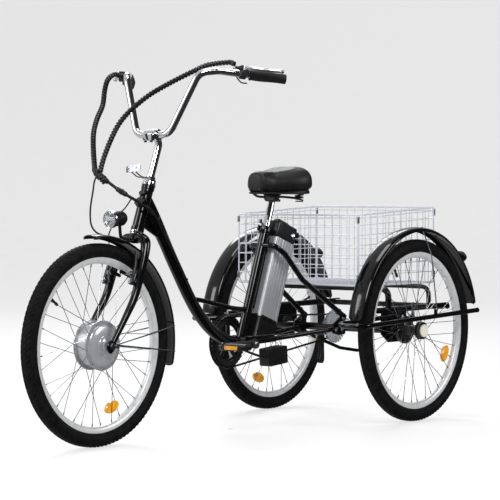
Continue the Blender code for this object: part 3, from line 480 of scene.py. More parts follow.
class Grain(Enum):
    """The small relief that a finish has."""

    ENAMEL = "enamel"
    PLATED = "plated"
    BRUSHED = "brushed"
    MOULDED = "moulded"
    PEBBLE = "pebble"
    RUBBER = "rubber"
    CAST = "cast"
    PRISM = "prism"
    CLEAR = "clear"


@dataclass(frozen=True)
class Finish:
    """One finish: its colour, gloss and relief, with the sizes of its patterns in metres."""

    name: str
    slot: str
    colour: tuple[float, float, float]
    roughness: float
    grain: Grain
    metallic: float = 0.0
    coat: float = 0.0
    uneven: float = 0.08
    tint: float = 0.12
    grain_size: float = 0.0012
    relief: float = 0.00003
    stretch: tuple[float, float, float] = (1.0, 1.0, 1.0)
    transmission: float = 0.0
    specular: float = 0.5
    glow: float = 0.0

    def material(self) -> bpy.types.Material:
        """Makes the finish's node material once and returns it."""
        known = bpy.data.materials.get(self.name)
        return known if known and known.get("finish") else self._build()

    def _build(self) -> bpy.types.Material:
        """A shader whose colour and roughness wander with broad noise and whose relief comes from its grain.

        Returns:
            The material.
        """
        material = bpy.data.materials.new(self.name)
        material["finish"] = True
        material.use_nodes = True
        nodes, links = material.node_tree.nodes, material.node_tree.links
        shader = nodes["Principled BSDF"]
        shader.inputs["Metallic"].default_value = self.metallic
        shader.inputs["Specular IOR Level"].default_value = self.specular
        shader.inputs["Emission Color"].default_value = (1.0, 1.0, 1.0, 1.0)
        shader.inputs["Emission Strength"].default_value = self.glow
        shader.inputs["Coat Weight"].default_value = self.coat
        shader.inputs["Coat Roughness"].default_value = 0.05
        shader.inputs["Transmission Weight"].default_value = self.transmission
        place = nodes.new("ShaderNodeTexCoord")
        mapping = nodes.new("ShaderNodeMapping")
        mapping.inputs["Scale"].default_value = self.stretch
        links.new(place.outputs["Object"], mapping.inputs["Vector"])
        broad = self._noise(nodes, 9.0, 4.0)
        links.new(mapping.outputs["Vector"], broad.inputs["Vector"])
        wear = nodes.new("ShaderNodeMapRange")
        wear.inputs["From Min"].default_value = 0.3
        wear.inputs["From Max"].default_value = 0.7
        wear.inputs["To Min"].default_value = max(0.02, self.roughness - self.uneven)
        wear.inputs["To Max"].default_value = min(1.0, self.roughness + self.uneven)
        links.new(broad.outputs["Fac"], wear.inputs["Value"])
        links.new(wear.outputs["Result"], shader.inputs["Roughness"])
        ramp = nodes.new("ShaderNodeValToRGB")
        dark = [value * (1 - self.tint) for value in self.colour]
        light = [min(1.0, value * (1 + self.tint) + 0.002) for value in self.colour]
        ramp.color_ramp.elements[0].position = 0.32
        ramp.color_ramp.elements[0].color = (*dark, 1.0)
        ramp.color_ramp.elements[1].position = 0.68
        ramp.color_ramp.elements[1].color = (*light, 1.0)
        links.new(self._detail(nodes, links, mapping).outputs["Fac"], ramp.inputs["Fac"])
        links.new(ramp.outputs["Color"], shader.inputs["Base Color"])
        bump = nodes.new("ShaderNodeBump")
        bump.inputs["Strength"].default_value = 0.6
        bump.inputs["Distance"].default_value = self.relief
        links.new(self._height(nodes, links, mapping), bump.inputs["Height"])
        links.new(bump.outputs["Normal"], shader.inputs["Normal"])
        return material

    @staticmethod
    def _noise(nodes: bpy.types.Nodes, scale: float, detail: float) -> bpy.types.Node:
        """A noise texture of a given scale and detail.

        Args:
            nodes: the material's nodes.
            scale: how fine the pattern is.
            detail: how many octaves it has.

        Returns:
            The node.
        """
        noise = nodes.new("ShaderNodeTexNoise")
        noise.inputs["Scale"].default_value = scale
        noise.inputs["Detail"].default_value = detail
        return noise

    def _detail(
        self, nodes: bpy.types.Nodes, links: bpy.types.NodeLinks, mapping: bpy.types.Node
    ) -> bpy.types.Node:
        """Mid-sized noise that the colour follows.

        Args:
            nodes: the material's nodes.
            links: the material's links.
            mapping: the node that gives the coordinates.

        Returns:
            The node.
        """
        noise = self._noise(nodes, 60.0, 6.0)
        links.new(mapping.outputs["Vector"], noise.inputs["Vector"])
        return noise

    def _height(
        self, nodes: bpy.types.Nodes, links: bpy.types.NodeLinks, mapping: bpy.types.Node
    ) -> bpy.types.NodeSocket:
        """The relief: cells for pebbled, cast and prism finishes, and noise for the rest.

        Args:
            nodes: the material's nodes.
            links: the material's links.
            mapping: the node that gives the coordinates.

        Returns:
            The socket.
        """
        scale = 1.0 / self.grain_size
        if self.grain in (Grain.PEBBLE, Grain.CAST, Grain.PRISM):
            cells = nodes.new("ShaderNodeTexVoronoi")
            cells.inputs["Scale"].default_value = scale
            cells.feature = "DISTANCE_TO_EDGE" if self.grain is Grain.PEBBLE else "F1"
            links.new(mapping.outputs["Vector"], cells.inputs["Vector"])
            return cells.outputs["Distance"]
        noise = self._noise(nodes, scale, 2.0 if self.grain in (Grain.ENAMEL, Grain.PLATED) else 8.0)
        links.new(mapping.outputs["Vector"], noise.inputs["Vector"])
        return noise.outputs["Fac"]


BLACK_ENAMEL = Finish(
    "black_enamel", "black_paint", (0.0012, 0.0012, 0.0014), 0.12, Grain.ENAMEL, coat=0.25, uneven=0.04,
    grain_size=0.004, relief=0.00003, specular=0.30,
)
CHROME_PLATE = Finish(
    "chrome_plate", "chrome", (0.74, 0.74, 0.75), 0.06, Grain.PLATED, metallic=1.0, uneven=0.03, tint=0.04,
    grain_size=0.006, relief=0.00001,
)
ZINC = Finish(
    "zinc_plate", "silver", (
        0.42, 0.44, 0.47
    ), 0.28, Grain.PLATED, metallic=1.0, uneven=0.10, grain_size=0.0015,
)
RIM_ALLOY = Finish(
    "rim_alloy", "silver", (
        0.70, 0.71, 0.72
    ), 0.34, Grain.BRUSHED, metallic=0.35, tint=0.08, grain_size=0.0009,
)
SPOKE_STEEL = Finish(
    "spoke_steel", "silver", (0.34, 0.34, 0.35), 0.24, Grain.PLATED, metallic=1.0, grain_size=0.002,
)
MOTOR_COVER = Finish(
    "polished_cover", "motor_alloy", (0.58, 0.59, 0.61), 0.20, Grain.BRUSHED, metallic=0.55, tint=0.06,
    grain_size=0.0015,
)
MOTOR_CASE = Finish(
    "motor_case", "motor_alloy", (0.56, 0.57, 0.59), 0.33, Grain.CAST, metallic=0.7, grain_size=0.0011,
    relief=0.00002,
)
BATTERY_CASE = Finish(
    "anodised_case", "battery_alloy", (0.46, 0.47, 0.49), 0.32, Grain.BRUSHED, metallic=0.55, tint=0.07,
    grain_size=0.0007, stretch=(1.0, 1.0, 0.08),
)
BLACK_STEEL = Finish(
    "black_steel", "dark_steel", (0.012, 0.012, 0.013), 0.32, Grain.CAST, grain_size=0.002,
    relief=0.00005, specular=0.6,
)
CHAIN_STEEL = Finish(
    "oiled_chain", "dark_steel", (
        0.060, 0.056, 0.052
    ), 0.30, Grain.PLATED, metallic=1.0, tint=0.35, uneven=0.14,
)
TYRE = Finish(
    "tyre_rubber_skin", "tyre_rubber", (0.0050, 0.0050, 0.0054), 0.62, Grain.RUBBER, tint=0.30, uneven=0.10,
    grain_size=0.0008, relief=0.00012, specular=0.09,
)
GRIP = Finish(
    "grip_rubber_skin", "grip_rubber", (
        0.0060, 0.0060, 0.0064
    ), 0.58, Grain.PEBBLE, tint=0.25, grain_size=0.0016,
    relief=0.00015, specular=0.35,
)
PLASTIC = Finish(
    "moulded_plastic", "black_plastic", (
        0.0055, 0.0055, 0.0060
    ), 0.40, Grain.MOULDED, tint=0.2, grain_size=0.0007,
    relief=0.00006, specular=0.4,
)
CAP = Finish(
    "battery_cap_plastic", "cap_plastic", (
        0.0045, 0.0045, 0.0050
    ), 0.34, Grain.MOULDED, tint=0.2, grain_size=0.0006,
    relief=0.00005, specular=0.4,
)
JACKET = Finish(
    "cable_jacket", "cable_black", (0.004, 0.004, 0.0045), 0.45, Grain.MOULDED, tint=0.25, specular=0.35
)
WRAP = Finish(
    "spiral_wrap", "cable_black", (
        0.0065, 0.0065, 0.0070
    ), 0.36, Grain.MOULDED, tint=0.25, grain_size=0.002,
)
VINYL = Finish(
    "grained_vinyl", "saddle_skin", (0.0060, 0.0062, 0.0066), 0.48, Grain.PEBBLE, tint=0.3, uneven=0.08,
    grain_size=0.0022, relief=0.00020, specular=0.4,
)
WHITE_WIRE = Finish(
    "white_dipped_wire", "basket_white", (0.62, 0.64, 0.70), 0.28, Grain.ENAMEL, coat=0.4, tint=0.05,
    grain_size=0.003, relief=0.00006,
)
RED_LENS = Finish(
    "red_lens", "tail_red", (0.55, 0.010, 0.012), 0.14, Grain.PRISM, coat=1.0, tint=0.3, grain_size=0.003,
    relief=0.0004,
)
AMBER_LENS = Finish(
    "amber_lens", "tail_red", (0.95, 0.34, 0.012), 0.22, Grain.PRISM, coat=1.0, tint=0.3, grain_size=0.003,
    relief=0.0004,
)
CLEAR_LENS = Finish(
    "clear_lens", "silver", (
        0.86, 0.88, 0.90
    ), 0.06, Grain.CLEAR, tint=0.03, uneven=0.02, transmission=0.92,
    grain_size=0.004,
)
LEVER_ALLOY = Finish(
    "lever_alloy", "silver", (0.50, 0.50, 0.52), 0.30, Grain.BRUSHED, metallic=1.0, tint=0.06
)
GOLD_ALLOY = Finish("gold_alloy", "silver", (0.72, 0.46, 0.14), 0.26, Grain.PLATED, metallic=1.0, tint=0.1)
CREAM = Finish("cream_cap", "basket_white", (0.72, 0.68, 0.56), 0.35, Grain.MOULDED, tint=0.06)


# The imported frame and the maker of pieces


@dataclass
class Layout:
    """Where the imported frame's joints are, and frames worked out from them."""

    joints: dict[str, dict] = field(default_factory=dict)

    def spot(self, joint: str) -> Array:
        """A hinge's place."""
        return np.array(self.joints[joint]["pos_m"], float)

    def axis(self, joint: str) -> Array:
        """A joint's direction as a unit vector."""
        axis = np.array(self.joints[joint]["axis"], float)
        return axis / np.linalg.norm(axis)

    @property
    def middle(self) -> Array:
        """The point on the ground midway between the front and the rear axle."""
        return np.array([0.0, (self.spot("front_wheel_spin")[1] + self.spot("rear_axle_spin")[1]) / 2, 0.0])

    def route(self, points: Sequence[Row]) -> Array:
        """Points measured from the middle of the wheelbase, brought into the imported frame."""
        return np.asarray(points, float) + self.middle

    @property
    def head(self) -> Array:
        """Local Z up the steering axis, local Y towards the rear, zero at the foot of the head tube."""
        return frame_at(self.spot("steering_turn"), X_AXIS, self.axis("steering_turn"))

    @property
    def seat(self) -> Array:
        """Local Z up the seat tube, local Y towards the rear, zero at the crank axis."""
        return frame_at(self.spot("crank_spin"), X_AXIS, self.axis("seat_height"))

    def grip(self, side: int) -> Array:
        """A frame at a grip's inner end: local Z outwards along it, local X towards its brake lever's pivot.

        Args:
            side: 1 for the left, -1 for the right.

        Returns:
            The frame.
        """
        right = frame_at(self.spot("throttle_twist"), X_AXIS, self.axis("throttle_twist"))
        origin, along = right[:3, 3].copy(), right[:3, 2].copy()
        if side > 0:
            origin[0], along[0] = -origin[0], -along[0]
        pivot = self.spot("left_lever_squeeze" if side > 0 else "right_lever_squeeze")
        return frame_at(origin, pivot - origin, along)


LAYOUT = Layout()


def piece(
    name: str,
    shape: Shape,
    finish: Finish,
    body: str,
    replaces: Sequence[str] = (),
    sharp: float = 35.0,
) -> bpy.types.Object:
    """Puts a finished surface in the scene as a piece of the tricycle.

    Args:
        name: the piece's name.
        shape: its surface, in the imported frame.
        finish: what it is made of.
        body: the moving body that it rides on.
        replaces: the frame's plain nodes that it stands for.
        sharp: edges that turn by more than this many degrees stay sharp.

    Returns:
        The new object.
    """
    mesh = bpy.data.meshes.new(name)
    mesh.vertices.add(len(shape.points))
    mesh.vertices.foreach_set("co", shape.points.astype(np.float32).ravel())
    mesh.loops.add(len(shape.loops))
    mesh.loops.foreach_set("vertex_index", shape.loops.astype(np.int32))
    mesh.polygons.add(len(shape.sizes))
    mesh.polygons.foreach_set("loop_start", (np.cumsum(shape.sizes) - shape.sizes).astype(np.int32))
    mesh.update()
    mesh.validate()
    mesh.shade_smooth()
    mesh.set_sharp_from_angle(angle=radians(sharp))
    mesh.materials.append(finish.material())
    obj = bpy.data.objects.new(name, mesh)
    bpy.context.scene.collection.objects.link(obj)
    if body:
        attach(obj, body)
    if replaces:
        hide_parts(*replaces)
    LOG.info("%s: %d faces on %s", name, len(shape.sizes), body or "a joint")
    return obj


# Wheels


@dataclass
class Wheel:
    """A tyre on a laced rim, turned about the wheel's own axis, which runs along +X."""

    name: str
    body: str
    centre: Array
    tyre_node: str
    rim_node: str
    flange_radius: float
    flange_x: tuple[float, float]
    cross: float
    radius: float = 0.3035
    half_width: float = 0.025
    bead_radius: float = 0.2612
    spoke_count: int = 36
    knob_count: int = 112
    groove_depth: float = 0.0022
    spoke_radius: float = 0.00105
    rim_bottom: float = 0.2425
    valve_angle: float = 143.0
    reflector_angle: float = -71.0

    @property
    def place(self) -> Array:
        """Local Z along the axle, zero at the wheel's middle."""
        return shift(*self.centre) @ ACROSS

    def build(self) -> None:
        """Makes the tyre, the rim with its spokes, the valve and the reflectors."""
        piece(self.name + "_tyre_casing", self.tyre(), TYRE, self.body, [self.tyre_node], sharp=28)
        piece(self.name + "_rim_ring", self.rim(), RIM_ALLOY, self.body, [self.rim_node])
        piece(self.name + "_spokes", self.spokes(), SPOKE_STEEL, self.body)
        piece(self.name + "_valve", self.valve(), PLASTIC, self.body)
        piece(self.name + "_spoke_reflector", self.reflector(), AMBER_LENS, self.body)

    def tyre(self) -> Shape:
        """A casing of smooth section, cut by skewed grooves across and two grooves round the tread.

        Returns:
            The tyre.
        """
        half = [(0.0, 0.0), (0.0, 0.0085), (0.0022, 0.0150), (0.0075, 0.0203), (0.0145, 0.0238)]
        half += [(0.0225, 0.0250), (0.0305, 0.0232), (0.0365, 0.0185), (0.0405, 0.0140), (0.0423, 0.0118)]
        depth = np.array([drop for drop, _ in half])
        width = np.array([x for _, x in half])
        fine = catmull(np.column_stack([depth, width]), 34)
        inside = self.radius - self.bead_radius + 0.002
        drop = np.concatenate([fine[:, 0], [inside], fine[:0:-1, 0]])
        side = np.concatenate([fine[:, 1], [0.0], -fine[:0:-1, 1]])
        angle = np.linspace(0, 2 * pi, self.knob_count * 6, endpoint=False)
        phase = angle[:, None] * self.knob_count / (2 * pi) + np.abs(side)[None] / self.half_width * 1.6
        across = np.clip((np.abs(phase % 1.0 - 0.5) - 0.30) / 0.08, 0, 1)
        tread = np.clip((self.half_width * 0.86 - np.abs(side)) / 0.002, 0, 1)
        tread *= np.clip((0.011 - drop) / 0.003, 0, 1)
        middle = np.clip((0.0030 - np.abs(side)) / 0.0008, 0, 1)
        around = np.clip(1 - np.abs(np.abs(side) - 0.0085) / 0.0014, 0, 1)
        cut = np.maximum(across * (1 - middle)[None], around[None]) * tread[None]
        ribs = 0.00025 * np.cos(drop * 2 * pi / 0.0028) * np.clip((drop - 0.016) / 0.004, 0, 1)
        reach = self.radius - drop[None] - cut * self.groove_depth + ribs[None] * (np.abs(side) > 0.012)
        rows = np.stack(
            [
                reach * np.cos(angle)[:, None], reach * np.sin(angle)[:, None],
                np.broadcast_to(side, reach.shape)
            ], -1
        )
        return skin(rows, wrap_rows=True).moved(self.place)

    def rim(self) -> Shape:
        """A hollow box section rim with hooked edges and a shallow well, turned about the axle.

        Returns:
            The rim.
        """
        half = [
            (self.rim_bottom, 0.0), (0.2428, 0.0045), (0.2446, 0.0082), (0.2500, 0.0118), (0.2565, 0.0130)
        ]
        half += [(0.2612, 0.0134), (0.2622, 0.0128), (0.2618, 0.0116), (0.2585, 0.0112), (0.2560, 0.0080)]
        half += [(0.2555, 0.0)]
        profile = half + [(radius, -x) for radius, x in reversed(half[1:-1])]
        return lathe(profile, self.place, 144, ring=True)

    def spokes(self) -> Shape:
        """Spokes from two flanges, laced leading and trailing by turns, with a nipple at each rim end.

        Returns:
            The spokes and nipples.
        """
        index = np.arange(self.spoke_count)
        rim_angle = 2 * pi * (index + 0.5) / self.spoke_count
        side = np.where(index % 2 == 0, 1, -1)
        lean = np.where(index // 2 % 2 == 0, 1, -1) * self.cross
        foot_x = np.where(side > 0, self.flange_x[1], self.flange_x[0]) + 0.0012 * side * np.sign(lean)
        foot_angle = rim_angle + lean
        foot = self._ring_points(self.flange_radius, foot_angle, foot_x)
        tip = self._ring_points(self.rim_bottom + 0.001, rim_angle, side * 0.0022)
        along = (tip - foot) / np.linalg.norm(tip - foot, axis=1)[:, None]
        wires = rods(foot, tip, self.spoke_radius, 6)
        nipples = rods(tip - along * 0.011, tip, 0.0019, 6)
        heads = rods(
            foot - X_AXIS[None] * side[:, None] * 0.0012, foot + X_AXIS * side[:, None] * 0.0018, 0.0020, 6
        )
        return wires + nipples + heads

    def _ring_points(self, radius: float, angle: Array, x: Array) -> Array:
        """Points at a radius and angles about the axle, moved along it by x."""
        y, z = radius * np.cos(angle), radius * np.sin(angle)
        return self.centre + np.column_stack([np.broadcast_to(x, y.shape), y, z])

    def spin(self, angle: float, radius: float) -> Array:
        """A frame on the wheel's disc: local Z outwards along a radius, local X along the axle."""
        out = np.array([0.0, cos(angle), sin(angle)])
        return frame_at(self.centre + out * radius, X_AXIS, out)

    def valve(self) -> Shape:
        """A rubber stem that points to the hub from the rim, with its ribbed cap.

        Returns:
            The valve.
        """
        place = self.spin(radians(self.valve_angle), self.rim_bottom) @ turn("X", pi)
        stem = [
            (0, -0.002), (0.0052, -0.002), (0.0046, 0.004), (0.0036, 0.018), (0.0034, 0.024), (0, 0.024)
        ]
        cap = [(0, 0.0225), (0.0046, 0.0225), (0.0048, 0.030), (0.0040, 0.0335), (0, 0.034)]
        return lathe(stem, place, 16) + lathe(cap, place, 12)

    def reflector(self) -> Shape:
        """An oval lens clipped between spokes, its length along the rim.

        Returns:
            The reflector.
        """
        angle = np.linspace(0, 2 * pi, 28, endpoint=False)
        oval = np.column_stack([0.0170 * np.sin(angle), 0.0300 * np.cos(angle)])
        lens = plate(oval, -0.0055, 0.0055, 0.0022)
        return lens.moved(self.spin(radians(self.reflector_angle), 0.200) @ turn("Y", pi / 2))


# Frame


@dataclass
class MainFrame:
    """The step-through frame: head tube, down tube, brace, seat tube, crank shell, stays and end plates."""

    tube_radius: float = 0.0188
    seat_radius: float = 0.0162
    stay_radius: float = 0.0090
    head_length: float = 0.147
    seat_length: float = 0.398
    plate_x: float = 0.083
    down_route: tuple = (
        (0, -0.420, 0.735), (0, -0.331, 0.640), (0, -0.261, 0.537), (0, -0.184, 0.426),
        (0, -0.126, 0.361), (0, -0.066, 0.315), (0, -0.007, 0.288), (0, 0.064, 0.276),
    )
    brace_route: tuple = (
        (0, -0.190, 0.428), (0, -0.120, 0.418), (0, -0.037, 0.401), (0, 0.035, 0.388),
        (0, 0.112, 0.382),
    )

    def build(self) -> None:
        """Makes the welded frame, its bolts and its headset."""
        welded = self.tubes() + self.stays() + self.welds()
        piece("main_frame", welded, BLACK_ENAMEL, "frame", ["front_frame"])
        piece("frame_bolts", self.bolts(), ZINC, "frame")
        lower, upper = self.headset()
        piece("lower_headset_cup", lower, CHROME_PLATE, "frame", ["lower_headset"])
        piece("upper_headset_cup", upper, CHROME_PLATE, "frame", ["upper_headset"])

    def tubes(self) -> Shape:
        """The large tubes: each a circle carried along its route, and the turned head tube and crank shell.

        Returns:
            The tubes.
        """
        head, seat = LAYOUT.head, LAYOUT.seat
        length = self.head_length
        rim, waist = 0.0205, 0.0188
        head_tube = [(0.0150, 0.0), (rim, 0.0), (rim, 0.012), (waist, 0.014), (waist, length - 0.014)]
        head_tube += [(rim, length - 0.012), (rim, length), (0.0150, length)]
        down = sweep(catmull(LAYOUT.route(self.down_route), 90), self.tube_radius, 36)
        brace = sweep(catmull(LAYOUT.route(self.brace_route), 30), 0.0076, 20)
        top = self.seat_length
        tube = [(0.0, 0.0), (self.seat_radius, 0.0), (self.seat_radius, top - 0.030), (0.0150, top - 0.002)]
        tube += [(0.0136, top), (0.0134, top - 0.01), (0.0, top - 0.01)]
        shell = [(0.0165, -0.0345), (0.0222, -0.0345), (0.0222, 0.0345), (0.0165, 0.0345), (0.0120, 0.030)]
        shell += [(0.0120, -0.030)]
        collar = [(self.seat_radius, top - 0.024), (0.0205, top - 0.023), (0.0208, top - 0.006)]
        collar += [(0.0195, top - 0.004), (self.seat_radius, top - 0.004)]
        ears = [
            soft_box((0.0055, 0.020, 0.018), 0.002, 0.001).moved(seat @ shift(x, -0.0230, top - 0.014))
            for x in (-0.0062, 0.0062)
        ]
        crank = shift(*LAYOUT.spot("crank_spin")) @ ACROSS
        turned = lathe(head_tube, head, 48, ring=True) + lathe(tube, seat, 40)
        turned += lathe(collar, seat, 40, ring=True) + lathe(shell, crank, 48, ring=True)
        return down + brace + turned + union(ears) + self.gusset()

    def gusset(self) -> Shape:
        """A second tube from the top of the head tube that runs into the down tube, and the web between them.

        Returns:
            The plates.
        """
        upper = LAYOUT.route([(0, -0.404, 0.762), (0, -0.352, 0.690), (0, -0.285, 0.583)])
        outline = LAYOUT.route(
            [(0, -0.405, 0.745), (0, -0.340, 0.660), (0, -0.330, 0.615), (0, -0.420, 0.660)]
        )
        web = plate(outline[:, 1:], -0.0035, 0.0035, 0.001).moved(ACROSS)
        return sweep(catmull(upper, 30), 0.0150, 24) + web

    def stay_route(self, side: int) -> Array:
        """A seat stay: out of the seat tube, round the battery and down to its end plate.

        Args:
            side: 1 for the left, -1 for the right.

        Returns:
            The stay's points.
        """
        corners = [(0, 0.172, 0.588), (side * 0.049, 0.177, 0.591), (side * 0.060, 0.222, 0.560)]
        corners += [(side * 0.067, 0.305, 0.475), (side * self.plate_x, 0.512, 0.347)]
        return rounded(LAYOUT.route(corners), 0.035, 10)

    def stays(self) -> Shape:
        """Seat stays, chain stays and the plates that join their ends.

        Returns:
            The stays.
        """
        shapes = []
        for side in (-1, 1):
            shapes.append(sweep(self.stay_route(side), self.stay_radius, 22))
            chain = [
                (side * 0.014, 0.070, 0.276), (side * 0.036, 0.200, 0.284),
                (side * self.plate_x, 0.478, 0.305)
            ]
            size = np.interp(np.arange(12), [0, 8, 11], [0.0105, 0.0092, 0.0078])
            shapes.append(sweep(rounded(LAYOUT.route(chain), 0.2, 10), size, 22))
            corners = [(0, 0.455, 0.290), (0, 0.490, 0.283), (0, 0.520, 0.286), (0, 0.521, 0.330)]
            corners += [(0, 0.528, 0.348), (0, 0.516, 0.356), (0, 0.455, 0.324)]
            outline = LAYOUT.route(corners)[:, 1:]
            low, high = side * self.plate_x - 0.004, side * self.plate_x + 0.004
            shapes.append(plate(outline, low, high, 0.0008).moved(ACROSS))
        return union(shapes)

    def welds(self) -> Shape:
        """A rippled bead round each joint: a small ring whose thickness follows a cosine along it.

        Returns:
            The weld beads.
        """
        joints = [
            (LAYOUT.route(self.down_route)[1] + np.array([0, -0.026, 0.036]), (0, -0.62, 0.78), 0.0200),
            (LAYOUT.route(self.down_route)[-1] + np.array([0, -0.019, 0.001]), (0, 1, -0.05), 0.0192),
            (LAYOUT.route(self.brace_route)[0] + np.array([0, 0.022, -0.004]), (0, 1, -0.15), 0.0084),
            (LAYOUT.route(self.brace_route)[-1] + np.array([0, -0.018, 0.001]), (0, 1, -0.1), 0.0084),
        ]
        for side in (-1, 1):
            stay = self.stay_route(side)
            joints.append((stay[0] + (stay[1] - stay[0]) * 0.35, stay[1] - stay[0], 0.0095))
            joints.append((stay[-1] - (stay[-1] - stay[-2]) * 0.12, stay[-1] - stay[-2], 0.0094))
        beads = []
        angle = np.linspace(0, 2 * pi, 72, endpoint=False)
        for origin, along, radius in joints:
            ring = np.column_stack([radius * np.cos(angle), radius * np.sin(angle), 0 * angle])
            place = aimed(origin, along)
            beads.append(sweep(ring, 0.0019 + 0.0004 * np.cos(24 * angle), 8, loop=True).moved(place))
        return union(beads)

    def bolts(self) -> Shape:
        """Pairs of bolts through the stay plates, and the clamp's cross bolt.

        Returns:
            The bolts.
        """
        spots = [(0.466, 0.300), (0.500, 0.300), (0.508, 0.338)]
        places = []
        for side in (-1, 1):
            for y, z in spots:
                origin = LAYOUT.route([(side * (self.plate_x + 0.0042), y, z)])[0]
                places.append(aimed(origin, X_AXIS * side))
        bolts = hex_bolt(np.eye(4)).copies(places)
        cross = LAYOUT.seat @ shift(-0.0092, -0.0262, self.seat_length - 0.014) @ turn("Y", -pi / 2)
        return bolts + hex_bolt(cross, 0.0040, 0.004)

    def headset(self) -> tuple[Shape, Shape]:
        """The lower cup and the upper cup with its lock nut, turned about the steering axis.

        Returns:
            The cups and rings.
        """
        lower = [
            (0.0138, -0.0122), (0.0175, -0.0122), (0.0188, -0.0110), (0.0192, -0.0085), (0.0214, -0.0070)
        ]
        lower += [(0.0216, -0.0015), (0.0208, -0.0003), (0.0138, -0.0003)]
        foot = self.head_length + 0.0003
        upper = [(0.0138, foot), (0.0208, foot), (0.0217, foot + 0.0012), (0.0217, foot + 0.0065)]
        upper += [(0.0200, foot + 0.0080), (0.0194, foot + 0.0130), (0.0138, foot + 0.0130)]
        nut = [(0.0138, foot + 0.0132), (0.0186, foot + 0.0132), (0.0190, foot + 0.0142)]
        nut += [(0.0190, foot + 0.0205), (0.0182, foot + 0.0222), (0.0138, foot + 0.0235)]
        cup = lathe(upper, LAYOUT.head, 56, ring=True) + lathe(nut, LAYOUT.head, 8, ring=True)
        return lathe(lower, LAYOUT.head, 56, ring=True), cup


